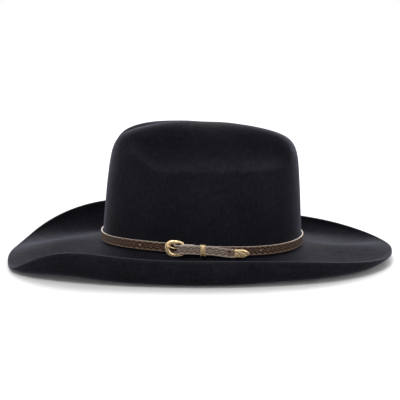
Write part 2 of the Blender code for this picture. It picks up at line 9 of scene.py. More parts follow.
import bpy
import numpy as np
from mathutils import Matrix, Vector


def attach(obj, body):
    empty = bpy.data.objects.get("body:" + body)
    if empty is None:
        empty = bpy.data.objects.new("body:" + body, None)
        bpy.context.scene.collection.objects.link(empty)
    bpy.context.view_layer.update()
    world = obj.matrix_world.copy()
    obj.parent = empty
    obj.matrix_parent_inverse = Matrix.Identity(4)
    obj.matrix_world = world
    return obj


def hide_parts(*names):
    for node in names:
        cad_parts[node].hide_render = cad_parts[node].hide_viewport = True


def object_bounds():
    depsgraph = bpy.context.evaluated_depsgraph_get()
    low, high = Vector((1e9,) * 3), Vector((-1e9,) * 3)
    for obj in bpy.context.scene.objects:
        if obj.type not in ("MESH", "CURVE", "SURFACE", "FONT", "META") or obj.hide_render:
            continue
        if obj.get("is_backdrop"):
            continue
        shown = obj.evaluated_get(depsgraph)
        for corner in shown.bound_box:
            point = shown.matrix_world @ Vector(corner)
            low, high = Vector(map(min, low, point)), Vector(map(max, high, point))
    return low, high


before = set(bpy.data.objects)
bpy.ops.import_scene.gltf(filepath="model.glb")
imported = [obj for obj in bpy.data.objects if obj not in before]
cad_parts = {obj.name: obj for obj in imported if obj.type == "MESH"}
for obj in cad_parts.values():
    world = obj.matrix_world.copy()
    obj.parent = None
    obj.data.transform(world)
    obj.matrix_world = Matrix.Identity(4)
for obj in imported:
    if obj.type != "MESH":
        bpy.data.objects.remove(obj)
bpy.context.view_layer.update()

MM = 0.001
TAU = 2 * math.pi

# Felt
FELT = 2.5 * MM
CROWN_REACH = 104.1 * MM
CROWN_HALF_WIDTH = 86.0 * MM
CROWN_TOP = 128.0 * MM
BREAK_HEIGHT = 2.0 * MM
BREAK_TILT = 2.9 * MM
BRIM_LENGTH = 398.1 * MM
BRIM_WIDTH = 291.0 * MM
BRIM_CENTRE = -1.65 * MM
BRIM_BLUNT = 2.9 * MM
BRIM_WAVES = (2.3, -0.55, -10.6, -3.0, 0.25, 0.8, 0.85)
BRIM_LEANS = (-1.9, -2.7, 1.5, 4.1, 2.1)
BELLY_WAVES = (2.9, 1.0, 0.0, 2.0, -1.0)
CREASE_DEPTH = 24.0 * MM
CREASE_WIDTH = 13.0 * MM
DENT_DEPTH = 17.0 * MM
DENT_FLOOR = 82.0 * MM
GAP = 0.3 * MM

# Hatband and buckle set
STRAP_HEIGHT = 8.8 * MM
STRAP_SEAT = 2.4 * MM
STRAP_THICK = 1.3 * MM
STRAP_LIFT = 1.9 * MM
BILLET_HEIGHT = 8.4 * MM
FLAT_OFFSET = STRAP_THICK / 2 + 0.4 * MM
BAR_PLACE = -18.8 * MM
BAR_RADIUS = 0.9 * MM
BAR_OFFSET = 2.7 * MM
LOOP_RADIUS = BAR_RADIUS + 0.2 * MM + STRAP_THICK / 2
FRAME_REACH = 15.0 * MM
FRAME_SHOULDER = 8.0 * MM
FRAME_HALF_HEIGHT = 6.6 * MM
FRAME_WIDTH = 4.8 * MM
ARM_WIDTH = 3.4 * MM
FRAME_ARCH = 1.3 * MM
FRAME_THICK = 2.4 * MM
PRONG_RADIUS = 0.6 * MM
PRONG_LENGTH = 16.4 * MM
PRONG_RISE = 4.0 * MM
KEEPER_PLACE = 0.4 * MM
KEEPER_WIDTH = 5.4 * MM
TIP_START = 31.5 * MM
TIP_LENGTH = 14.9 * MM
TIP_SAG = 2.0 * MM
TIP_HEIGHT = 8.0 * MM
BILLET_END = TIP_START + 10.0 * MM
PUNCHED_HOLE = 25.7 * MM
TACK_FRONT = -63.2 * MM
TACK_BACK = 59.0 * MM

# Inside of the hat
SWEATBAND_HEIGHT = 48.0 * MM
SWEATBAND_THICK = 0.9 * MM
REED_RADIUS = 0.8 * MM
LINING_DEPTH = 3.3 * MM
LINING_THICK = 0.4 * MM
TIP_DEPTH = 4.8 * MM
PROTECTOR_DEPTH = 7.2 * MM
PROTECTOR_THICK = 0.3 * MM
PIPING_RADIUS = 0.8 * MM
SEAM_STEP = (11 - 0.5) / 18 - 1

# Camera
VIEW_DISTANCE = 1.3
VIEW_ELEVATION = math.radians(10)
VIEW_TARGET = Vector((-2.35 * MM, 0, 44.1 * MM))


# ---------------------------------------------------------------- shapes of the felt


def smooth(value):
    """0 below 0, 1 above 1, with a soft rise between."""
    value = np.clip(value, 0.0, 1.0)
    return value * value * (3 - 2 * value)


def bump_at(distance, width):
    return np.exp(-((distance / width) ** 2))


def boxy(turn, power):
    """Reach at this turn of a rounded square: the higher the power, the sharper its corners."""
    return (np.abs(np.cos(turn)) ** power + np.abs(np.sin(turn)) ** power) ** (-1 / power)


def unit(vectors):
    return vectors / np.maximum(np.linalg.norm(vectors, axis=-1, keepdims=True), 1e-12)


def oval(angle, front, back, half_width, square):
    swell = np.cos(angle) - square * np.cos(3 * angle)
    side = np.sin(angle) + square * np.sin(3 * angle)
    x = (back - front) / 2 - (back + front) / 2 * swell / (1 - square)
    return x, -half_width * side / (1 - square)


def break_height(angle):
    wave = 1.0 * np.cos(2 * angle) + 1.1 * np.cos(3 * angle)
    return BREAK_HEIGHT + BREAK_TILT * np.cos(angle) - wave * MM


def crown_section(angle, rise):
    front = CROWN_REACH - 0.05 * rise - 0.35 * rise * rise - 0.9 * rise**3
    back = CROWN_REACH - 0.03 * rise - 0.1 * rise * rise
    width = CROWN_HALF_WIDTH - 0.02 * rise - 0.95 * rise * rise
    return oval(angle, front, back, width, 0.01 + 3.5 * rise * rise)


def crown_ridge(x):
    drop = np.where(x < -0.0121, 1.9, 1.55)
    return CROWN_TOP - drop * (x + 0.0121) ** 2


def crease(x, y):
    along = smooth((x + 0.0961) / 0.022) * (1 - smooth((x - 0.0129) / 0.07))
    return CREASE_DEPTH * along * bump_at(y, CREASE_WIDTH)


def dent(x, y, z):
    floor = DENT_FLOOR + 0.015 * smooth((-0.040 - x) / 0.030)
    along = smooth((x + 0.087) / 0.036) * (1 - smooth((x - 0.0719) / 0.018))
    up = smooth((z - floor) / 0.015) * (1 - 0.9 * smooth((z - 0.098) / 0.03))
    return DENT_DEPTH * along * up * smooth(np.abs(y) / 0.03)


def even_spacing(lift):
    crowded = 0.42
    return lift - 0.09 * (np.sin(TAU * (lift - crowded)) + math.sin(TAU * crowded))


def crown_point(angle, lift):
    """Outer surface of the crown. Lift 0 is the brim line and lift 1 the middle of the top."""
    ahead = np.maximum(np.cos(angle), 0.0) ** 2
    power = 4 + 8 * np.cos(angle) ** 2 + 4 * ahead
    turn = even_spacing(lift) * math.pi / 2
    swell = boxy(turn, power)
    inward = np.maximum(np.cos(turn), 0.0) * swell
    upward = np.sin(turn) * swell
    base = break_height(angle)
    x, y = crown_section(angle, upward * (CROWN_TOP - base))
    x, y = x * inward, y * inward
    z = base + upward * (crown_ridge(x) - base)
    push = dent(x, y, z)
    z = z - crease(x, y)
    lean = 0.045 + 0.05 * smooth((x + 0.0721) / 0.05)
    z = z - lean * y * upward**4
    return np.stack([x, y - np.sign(y) * push, z], -1)


def waves(angle, sizes):
    """Whole waves round the hat, none in the first size, one in the second, and so on."""
    return sum(size * np.cos(count * angle) for count, size in enumerate(sizes))


def corner(angle, place):
    """A short bump in the cut edge, as a hand leaves it."""
    return np.exp((np.cos(angle - place) - 1) / 0.05)


def brim_edge(angle):
    ahead = (1 + np.cos(angle)) / 2
    reach = BRIM_LENGTH / 2
    square = 0.012 + 0.039 * ahead
    x, y = oval(angle, reach - BRIM_CENTRE + BRIM_BLUNT, reach + BRIM_CENTRE, BRIM_WIDTH / 2, square)
    x = x + BRIM_BLUNT * ahead**16
    height = waves(angle, BRIM_WAVES) + np.sin(angle) * (5 * ahead**8 + waves(angle, BRIM_LEANS))
    height = height + 13.5 * corner(angle, 0.95) - 4.3 * corner(angle, 0.5)
    return np.stack([x, y, height * MM], -1)


def brim_belly(angle):
    """How much the brim's middle is held up above its plain curve."""
    return waves(angle, BELLY_WAVES) * MM


def brim_point(angle, reach):
    """Outer surface of the brim. Reach 0 is the crown and reach 1 is the cut edge."""
    x, y = oval(angle, CROWN_REACH, CROWN_REACH, CROWN_HALF_WIDTH, 0.01)
    inner = np.stack([x, y, break_height(angle)], -1)
    edge = brim_edge(angle)
    sine = np.sin(angle) ** 2
    rolled = 1.12 * sine / (sine + 0.12)
    start_z = inner[..., 2] - (0.018 * rolled + 0.003 * (1 - rolled))
    bend = 1.07 * rolled + 0.66 * (1 - rolled)
    bend_z = -0.0294 * rolled + (edge[..., 2] + 0.0027) * (1 - rolled)
    left = 1 - reach
    first, second, last = 3 * left * left * reach, 3 * left * reach * reach, reach**3
    point = inner + (edge - inner) * (0.33 * first + bend * second + last)[..., None]
    point[..., 2] = left**3 * inner[..., 2] + first * start_z + second * bend_z + last * edge[..., 2]
    point[..., 2] += brim_belly(angle) * 4 * left * reach
    return point


def felt_point(angle, step):
    """Outer surface: step -1 is the top's middle, 0 the break and 1 the cut edge."""
    angle, step = np.broadcast_arrays(np.asarray(angle, float), np.asarray(step, float))
    crown = crown_point(angle, np.clip(-step, 0, 1))
    brim = brim_point(angle, np.clip(step, 0, 1))
    return np.where((step < 0)[..., None], crown, brim)


def felt_inside(angle, step, depth):
    """A point this deep behind the felt's outer surface."""
    nudge = 0.03
    low = np.maximum(step - nudge, -0.97)
    along = felt_point(angle, low + 2 * nudge) - felt_point(angle, low)
    around = felt_point(angle + nudge, low + nudge) - felt_point(angle - nudge, low + nudge)
    return felt_point(angle, step) - unit(np.cross(along, around)) * np.asarray(depth)[..., None]


def wall_point(angle, depth, height):
    """A point this deep inside the crown's wall at a height, straight inwards from its surface."""
    angle, depth, height = np.broadcast_arrays(angle, depth, height)
    rise = np.maximum(height - break_height(angle), 0.0)
    section = np.stack([*crown_section(angle, rise), height], -1)
    ahead = np.stack([*crown_section(angle + 0.01, rise), height], -1)
    run = unit(ahead - section)
    inward = np.stack([-run[..., 1], run[..., 0], np.zeros_like(depth)], -1)
    return section + inward * depth[..., None]


# ---------------------------------------------------------------- the band's own coordinates


def strap_reference(angle):
    x, y = crown_section(angle, 2 * MM)
    return np.stack([x, y, np.zeros_like(x)], -1)


ANGLES = math.pi / 2 + TAU * np.arange(-2880, 2881) / 2880
_steps = np.linalg.norm(np.diff(strap_reference(ANGLES), axis=0), axis=1)
ARCS = np.concatenate([[0.0], np.cumsum(_steps)])
ARCS = ARCS - ARCS[2880]
AROUND_CROWN = float(ARCS[-1])


def on_band(arc, offset, up):
    """Place by distance along the crown, distance out from the felt, and height from the strap's middle."""
    arc, offset, up = np.broadcast_arrays(arc, offset, up)
    angle = np.interp(arc, ARCS, ANGLES)
    run = strap_reference(angle + 0.005) - strap_reference(angle - 0.005)
    outward = unit(np.stack([run[..., 1], -run[..., 0], np.zeros_like(arc)], -1))
    point = strap_reference(angle) + outward * offset[..., None]
    point[..., 2] = break_height(angle) + STRAP_SEAT + STRAP_HEIGHT / 2 + up
    return point


def base_offset(arc):
    settle = smooth((arc - BAR_PLACE) / (8 * MM))
    lifted = STRAP_LIFT + STRAP_THICK / 2
    flat = lifted - (lifted - FLAT_OFFSET) * smooth((arc - TIP_START + 10 * MM) / (9 * MM))
    return (BAR_OFFSET + LOOP_RADIUS) * (1 - settle) + flat * settle


def billet_offset(arc):
    over_bar = BAR_OFFSET + LOOP_RADIUS + STRAP_THICK + 3 * GAP
    lying = STRAP_LIFT + STRAP_THICK * 1.5 + 0.4 * MM
    climb = smooth((arc - BAR_PLACE + 12.0 * MM) / (6.6 * MM))
    settle = smooth((arc - BAR_PLACE - 1.5 * MM) / (8 * MM))
    lower = 0.7 * MM * smooth((arc - TIP_START + 10 * MM) / (9 * MM))
    return FLAT_OFFSET + (over_bar - FLAT_OFFSET) * climb - (over_bar - lying) * settle - lower


def billet_sag(arc):
    return -TIP_SAG * smooth((arc - TIP_START + 24 * MM) / (24 * MM))


def billet_half_height(arc):
    narrow = smooth((arc - BAR_PLACE + 16 * MM) / (5 * MM))
    inside_tip = smooth((arc - TIP_START + 1.6 * MM) / (1.2 * MM))
    pointed = smooth((arc - BILLET_END + 4 * MM) / (5 * MM))
    half = (STRAP_HEIGHT - (STRAP_HEIGHT - BILLET_HEIGHT) * narrow) / 2
    return half - 1.2 * MM * inside_tip - 1.4 * MM * pointed


# ---------------------------------------------------------------- meshes


def grid_faces(rows, cols, loop_rows=False, loop_cols=True, start=0):
    i = np.arange(rows if loop_rows else rows - 1)[:, None]
    j = np.arange(cols if loop_cols else cols - 1)[None, :]
    i2, j2 = (i + 1) % rows, (j + 1) % cols
    quads = np.stack([i * cols + j, i2 * cols + j, i2 * cols + j2, i * cols + j2], -1)
    return quads.reshape(-1, 4) + start


def mesh_object(name, points, faces, attributes=None):
    """A mesh object with its faces turned outwards and its named values on the points."""
    points = np.asarray(points, float).reshape(-1, 3)
    volume = 0.0
    for face in faces:
        corner = points[face[0]]
        for one, two in zip(face[1:], face[2:]):
            volume += float(np.dot(corner, np.cross(points[one], points[two]))) if len(faces) < 200 else 0.0
    if len(faces) >= 200:
        quads = np.array([face[:4] for face in faces if len(face) == 4])
        a, b, c, d = (points[quads[:, k]] for k in range(4))
        volume = float((np.cross(b, c) * a).sum() + (np.cross(c, d) * a).sum())
    if volume < 0:
        faces = [face[::-1] for face in faces]
    data = bpy.data.meshes.new(name)
    data.from_pydata(points.tolist(), [], faces)
    for label, values in (attributes or {}).items():
        values = np.asarray(values, float)
        vector = values.ndim > 1 and values.shape[-1] == 3 and values.size == points.size
        made = data.attributes.new(label, "FLOAT_VECTOR" if vector else "FLOAT", "POINT")
        made.data.foreach_set("vector" if vector else "value", values.reshape(-1).astype(np.float32))
    data.update()
    return bpy.data.objects.new(name, data)


def grid_object(name, grid, loop_rows=False, loop_cols=True, caps=False, attributes=None):
    """A surface through a grid of points, capped at both ends with flat faces if asked."""
    rows, cols = grid.shape[:2]
    faces = grid_faces(rows, cols, loop_rows, loop_cols).tolist()
    if caps:
        faces.append(list(range(cols))[::-1])
        faces.append(list(range((rows - 1) * cols, rows * cols)))
    return mesh_object(name, grid, faces, attributes)


def join_grids(name, grids, attributes=None, loop_rows=False):
    """Several capped or looped tubes as one object."""
    points, faces, start = [], [], 0
    for grid in grids:
        rows, cols = grid.shape[:2]
        faces += grid_faces(rows, cols, loop_rows, True, start).tolist()
        if not loop_rows:
            faces.append(list(range(start, start + cols))[::-1])
            faces.append(list(range(start + (rows - 1) * cols, start + rows * cols)))
        points.append(grid.reshape(-1, 3))
        start += rows * cols
    return mesh_object(name, np.concatenate(points), faces, attributes)


def smooth_curve(points, count, closed=False):
    """Points spread evenly along a smooth curve through the given ones."""
    points = np.asarray(points, float)
    size = len(points)
    fine = []
    last = size if closed else size - 1
    for i in range(last):
        ids = [i - 1, i, i + 1, i + 2]
        ids = [k % size for k in ids] if closed else [min(max(k, 0), size - 1) for k in ids]
        p0, p1, p2, p3 = points[ids]
        t = np.linspace(0, 1, 12, endpoint=False)[:, None]
        fine.append(
            0.5 * (2 * p1 + (p2 - p0) * t + (2 * p0 - 5 * p1 + 4 * p2 - p3) * t**2 + (3 * p1 - p0 - 3 * p2 + p3) * t**3)
        )
    fine.append(points[:1] if closed else points[-1:])
    fine = np.concatenate(fine)
    length = np.concatenate([[0], np.cumsum(np.linalg.norm(np.diff(fine[:, :3], axis=0), axis=1))])
    places = np.linspace(0, length[-1], count, endpoint=not closed)
    return np.stack([np.interp(places, length, fine[:, k]) for k in range(fine.shape[1])], -1), places


def place(obj, look, slot, body, *nodes, angle=40):
    """Puts a finished piece in the scene with its material and body, and hides the CAD nodes that it stands for. The
    slot is not used.
    """
    bpy.context.scene.collection.objects.link(obj)
    obj.data.materials.append(look)
    obj.data.shade_smooth()
    obj.data.set_sharp_from_angle(angle=math.radians(angle))
    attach(obj, body)
    if nodes:
        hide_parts(*nodes)
    return obj


def apply_modifiers(obj):
    graph = bpy.context.evaluated_depsgraph_get()
    data = bpy.data.meshes.new_from_object(obj.evaluated_get(graph), preserve_all_data_layers=True, depsgraph=graph)
    obj.modifiers.clear()
    obj.data = data


# ---------------------------------------------------------------- materials


class Look:
    """One node material. Each method adds a node and returns its output socket."""

    def __init__(self, name, roughness, metallic=0.0, specular=0.5):
        self.material = bpy.data.materials.new(name)
        self.material.use_nodes = True
        self.tree = self.material.node_tree
        self.shader = self.tree.nodes["Principled BSDF"]
        self.set("Roughness", roughness)
        self.set("Metallic", metallic)
        self.set("Specular IOR Level", specular)

    def fill(self, socket, value):
        if isinstance(value, bpy.types.NodeSocket):
            self.tree.links.new(value, socket)
        elif isinstance(value, tuple) and len(value) == 3 and len(socket.default_value) == 4:
            socket.default_value = (*value, 1.0)
        else:
            socket.default_value = value

    def set(self, socket, value):
        self.fill(self.shader.inputs[socket], value)

    def node(self, kind, inputs, output=0, **settings):
        made = self.tree.nodes.new("ShaderNode" + kind)
        for key, value in settings.items():
            setattr(made, key, value)
        for key, value in inputs.items():
            self.fill(made.inputs[key], value)
        return made.outputs[output]

    def spot(self):
        return self.node("TexCoord", {}, "Object")

    def value(self, name):
        return self.node("Attribute", {}, "Fac", attribute_name=name)

    def vector(self, name):
        return self.node("Attribute", {}, "Vector", attribute_name=name)

    def scaled(self, vector, size):
        return self.node("Mapping", {"Vector": vector, "Scale": size})

    def noise(self, vector, scale, detail=3.0, roughness=0.55, distortion=0.0):
        inputs = {"Vector": vector, "Scale": scale, "Detail": detail, "Roughness": roughness}
        return self.node("TexNoise", {**inputs, "Distortion": distortion}, "Fac")

    def cells(self, vector, scale, feature="F1"):
        return self.node("TexVoronoi", {"Vector": vector, "Scale": scale}, "Distance", feature=feature)

    def wave(self, vector, scale, distortion=0.0, direction="X"):
        inputs = {"Vector": vector, "Scale": scale, "Distortion": distortion}
        return self.node("TexWave", inputs, "Fac", bands_direction=direction)

    def math(self, operation, one, two=0.0, three=0.0):
        return self.node("Math", {0: one, 1: two, 2: three}, operation=operation)

    def span(self, value, low, high, to_low=0.0, to_high=1.0):
        """The value stretched from low..high to to_low..to_high, and held there."""
        inputs = {"Value": value, "From Min": low, "From Max": high, "To Min": to_low, "To Max": to_high}
        return self.node("MapRange", inputs, interpolation_type="SMOOTHSTEP")

    def ramp(self, value, *stops):
        made = self.tree.nodes.new("ShaderNodeValToRGB")
        self.fill(made.inputs[0], value)
        points = made.color_ramp.elements
        while len(points) < len(stops):
            points.new(0.5)
        for point, (where, colour) in zip(points, stops):
            point.position = where
            point.color = (*colour, 1.0)
        return made.outputs[0]

    def mix(self, share, one, two):
        made = self.tree.nodes.new("ShaderNodeMix")
        made.data_type = "RGBA"
        for index, value in ((0, share), (6, one), (7, two)):
            self.fill(made.inputs[index], value)
        return made.outputs[2]

    def bump(self, height, distance, strength=1.0, normal=None):
        inputs = {"Height": height, "Distance": distance, "Strength": strength}
        if normal is not None:
            inputs["Normal"] = normal
        return self.node("Bump", inputs)


def felt_look():
    """Brushed fur felt: fine short nap that lies down the crown and outwards along the brim."""
    look = Look("felt", 0.9, specular=0.10)
    nap, spot = look.vector("nap"), look.spot()
    patches = look.noise(spot, 26.0, 3.0)
    mottle = look.noise(nap, 260.0, 4.0, 0.62, 0.4)
    strokes = look.noise(look.scaled(nap, (1.0, 1.0, 0.22)), 900.0, 3.0, 0.6)
    hairs = look.noise(look.scaled(nap, (1.0, 1.0, 0.16)), 4200.0, 2.0, 0.6)
    specks = look.cells(spot, 420.0)
    tone = look.math("ADD", look.math("MULTIPLY", patches, 0.45), look.math("MULTIPLY", mottle, 0.55))
    base = look.ramp(tone, (0.36, (0.0010, 0.0009, 0.0026)), (0.52, (0.0024, 0.0022, 0.0047)), (0.68, (0.0050, 0.0046, 0.0080)))
    base = look.mix(look.span(hairs, 0.50, 0.72, 0.0, 0.30), base, (0.015, 0.0145, 0.018))
    base = look.mix(look.span(specks, 0.07, 0.02, 0.0, 0.10), base, (0.10, 0.095, 0.10))
    cut = look.value("cut")
    fibres = look.noise(spot, 1500.0, 3.0)
    base = look.mix(cut, base, look.ramp(fibres, (0.3, (0.006, 0.0055, 0.008)), (0.7, (0.020, 0.019, 0.023))))
    look.set("Base Color", base)
    look.set("Roughness", look.span(strokes, 0.3, 0.7, 0.72, 0.95))
    look.set("Sheen Weight", 0.16)
    look.set("Sheen Roughness", 0.25)
    look.set("Sheen Tint", (0.66, 0.70, 0.98))
    soft = look.bump(mottle, 0.0006, 0.35)
    soft = look.bump(strokes, 0.00035, 0.6, soft)
    look.set("Normal", look.bump(hairs, 0.00012, 0.8, soft))
    return look.material


def strap_look():
    """Tooled leather: antiqued recesses, rubbed high spots, pale raw edges and a grey free end."""
    look = Look("tooled leather", 0.5, specular=0.16)
    relief, edge, billet, worn = (look.value(name) for name in ("relief", "edge", "billet", "worn"))
    spot = look.spot()
    grain = look.cells(spot, 1500.0)
    blotch = look.noise(spot, 230.0, 4.0, 0.6)
    fleck = look.noise(spot, 900.0, 3.0, 0.65)
    spots = look.math("ADD", look.math("MULTIPLY", blotch, 0.35), look.math("MULTIPLY", fleck, 0.40))
    height = look.math("ADD", look.math("MULTIPLY", relief, 0.56), spots)
    brown = look.ramp(
        height,
        (0.25, (0.009, 0.004, 0.0025)),
        (0.48, (0.034, 0.0165, 0.0100)),
        (0.70, (0.074, 0.042, 0.027)),
        (1.0, (0.150, 0.102, 0.074)),
    )
    grey = look.ramp(
        height,
        (0.15, (0.066, 0.047, 0.038)),
        (0.45, (0.122, 0.090, 0.071)),
        (0.70, (0.200, 0.156, 0.129)),
        (1.0, (0.32, 0.26, 0.22)),
    )
    base = look.mix(billet, brown, grey)
    worn = look.math("MULTIPLY", worn, look.span(blotch, 0.30, 0.55, 0.35, 1.0))
    base = look.mix(worn, base, look.ramp(fleck, (0.3, (0.055, 0.024, 0.012)), (0.7, (0.17, 0.090, 0.050))))
    rubbed = look.math("MULTIPLY", look.span(fleck, 0.56, 0.70), look.span(relief, 0.5, 0.9))
    base = look.mix(look.math("MULTIPLY", rubbed, 0.3), base, (0.42, 0.34, 0.27))
    raw = look.ramp(fleck, (0.3, (0.50, 0.42, 0.35)), (0.7, (0.78, 0.70, 0.62)))
    look.set("Base Color", look.mix(edge, base, raw))
    look.set("Roughness", look.span(fleck, 0.3, 0.7, 0.38, 0.62))
    soft = look.bump(fleck, 0.00015, 0.5)
    look.set("Normal", look.bump(grain, 0.00012, 0.45, soft))
    return look.material


def gold_look():
    """Engraved gold plate with a dark patina in the cuts; the cut values also carry painted shade on the frame's side
    walls, the keeper's bottom and ends, and the tip's lower half.
    """
    look = Look("engraved gold", 0.25, 0.74)
    spot = look.spot()
    cut = look.value("cut")
    tarnish = look.noise(spot, 700.0, 4.0, 0.6)
    # Darker by the cut values: patina in the engraving, and painted shade where a piece carries it.
    dark = look.math("MULTIPLY", cut, look.span(tarnish, 0.25, 0.6, 0.55, 1.0))
    bright = look.ramp(tarnish, (0.3, (1.0, 0.68, 0.35)), (0.7, (1.0, 0.81, 0.51)))
    look.set("Base Color", look.mix(dark, bright, (0.13, 0.060, 0.020)))
    look.set("Roughness", look.span(look.math("ADD", tarnish, look.math("MULTIPLY", cut, 0.4)), 0.3, 1.0, 0.20, 0.50))
    scratches = look.noise(look.scaled(spot, (1.0, 1.0, 3.0)), 2600.0, 2.0)
    look.set("Normal", look.bump(scratches, 0.00005, 0.5))
    return look.material


def thread_look(name, dark, light):
    """Twisted thread."""
    look = Look(name, 0.65, specular=0.3)
    spot = look.spot()
    twist = look.wave(look.scaled(spot, (1.0, 1.0, 1.6)), 1400.0, 2.0, "DIAGONAL")
    fuzz = look.noise(spot, 2600.0, 3.0)
    tone = look.math("ADD", look.math("MULTIPLY", twist, 0.5), look.math("MULTIPLY", fuzz, 0.5))
    look.set("Base Color", look.ramp(tone, (0.25, dark), (0.75, light)))
    look.set("Sheen Weight", 0.2)
    look.set("Normal", look.bump(twist, 0.00012, 0.7))
    return look.material


def sweatband_look():
    """Smooth roan leather with fine pebbled grain, and a little darker where a brow has rubbed it."""
    look = Look("sweatband leather", 0.42, specular=0.45)
    spot = look.spot()
    pebble = look.cells(spot, 950.0)
    pores = look.noise(spot, 2600.0, 2.0)
    clouds = look.noise(spot, 45.0, 4.0, 0.6)
    base = look.ramp(clouds, (0.3, (0.055, 0.026, 0.012)), (0.5, (0.085, 0.042, 0.019)), (0.72, (0.125, 0.066, 0.032)))
    base = look.mix(look.span(pebble, 0.55, 0.9, 0.0, 0.45), base, (0.035, 0.016, 0.008))
    look.set("Base Color", look.mix(look.value("edge"), base, (0.20, 0.13, 0.08)))
    look.set("Roughness", look.span(clouds, 0.3, 0.7, 0.34, 0.52))
    look.set("Coat Weight", 0.12)
    look.set("Coat Roughness", 0.3)
    soft = look.bump(pores, 0.00006, 0.4)
    look.set("Normal", look.bump(pebble, 0.00018, 0.5, soft))
    return look.material


def ribbon_look(name, dark, light, rib):
    """Grosgrain ribbon: a rib across the weave, set by the direction of the nap values."""
    look = Look(name, 0.45, specular=0.35)
    weave = look.vector("weave")
    ribs = look.wave(weave, rib, 0.3, "X")
    yarn = look.wave(weave, rib * 2.6, 0.8, "Y")
    slub = look.noise(weave, 900.0, 3.0)
    tone = look.math("ADD", look.math("MULTIPLY", ribs, 0.6), look.math("MULTIPLY", slub, 0.4))
    look.set("Base Color", look.ramp(tone, (0.25, dark), (0.8, light)))
    look.set("Roughness", look.span(slub, 0.3, 0.7, 0.36, 0.6))
    look.set("Sheen Weight", 0.25)
    look.set("Sheen Roughness", 0.35)
    soft = look.bump(yarn, 0.00004, 0.5)
    look.set("Normal", look.bump(ribs, 0.00015, 0.8, soft))
    return look.material


def satin_look():
    """Grey satin: smooth floats with a faint twill line and soft shine."""
    look = Look("grey satin", 0.3, specular=0.5)
    weave = look.vector("weave")
    twill = look.wave(weave, 900.0, 0.4, "DIAGONAL")
    slub = look.noise(look.scaled(weave, (1.0, 0.08, 1.0)), 1100.0, 3.0)
    clouds = look.noise(weave, 30.0, 3.0)
    base = look.ramp(clouds, (0.3, (0.115, 0.110, 0.118)), (0.7, (0.185, 0.178, 0.188)))
    look.set("Base Color", look.mix(look.span(slub, 0.52, 0.75, 0.0, 0.35), base, (0.30, 0.29, 0.30)))
    look.set("Roughness", look.span(slub, 0.3, 0.7, 0.24, 0.42))
    look.set("Anisotropic", 0.6)
    look.set("Sheen Weight", 0.2)
    soft = look.bump(twill, 0.00002, 0.5)
    look.set("Normal", look.bump(slub, 0.00006, 0.5, soft))
    return look.material


def reed_look():
    """Plain extruded plastic cord with faint drawing lines."""
    look = Look("reed plastic", 0.38)
    spot = look.spot()
    lines = look.noise(look.scaled(spot, (1.0, 1.0, 6.0)), 700.0, 3.0)
    look.set("Base Color", look.ramp(lines, (0.3, (0.62, 0.60, 0.54)), (0.7, (0.78, 0.77, 0.72))))
    look.set("Roughness", look.span(lines, 0.3, 0.7, 0.3, 0.46))
    look.set("Subsurface Weight", 0.1)
    look.set("Normal", look.bump(lines, 0.00005, 0.5))
    return look.material


def clear_look():
    """Thin clear sheet, faintly rippled, with fine scuffs."""
    look = Look("clear sheet", 0.06)
    spot = look.spot()
    ripple = look.noise(spot, 40.0, 2.0)
    scuffs = look.noise(look.scaled(spot, (1.0, 9.0, 1.0)), 260.0, 4.0)
    look.set("Base Color", look.ramp(ripple, (0.3, (0.86, 0.87, 0.88)), (0.7, (0.95, 0.95, 0.95))))
    look.set("Roughness", look.span(scuffs, 0.45, 0.75, 0.05, 0.22))
    look.set("Alpha", 0.22)
    look.set("Normal", look.bump(ripple, 0.0006, 0.4))
    return look.material


# ---------------------------------------------------------------- felt


def hand_shaping(points):
    """Gentle unevenness from shaping by hand and steam, under half a millimetre."""
    waves = (
        (58, 21, 33, 0.4, 0.15),
        (-33, 64, 18, 2.1, 0.13),
        (14, -47, 71, 4.0, 0.12),
        (97, 52, -24, 1.2, 0.07),
        (-71, 38, 88, 5.3, 0.06),
    )
    x, y, z = points[..., 0], points[..., 1], points[..., 2]
    total = sum(size * np.sin(a * x + b * y + c * z + start) for a, b, c, start, size in waves)
    return total * MM


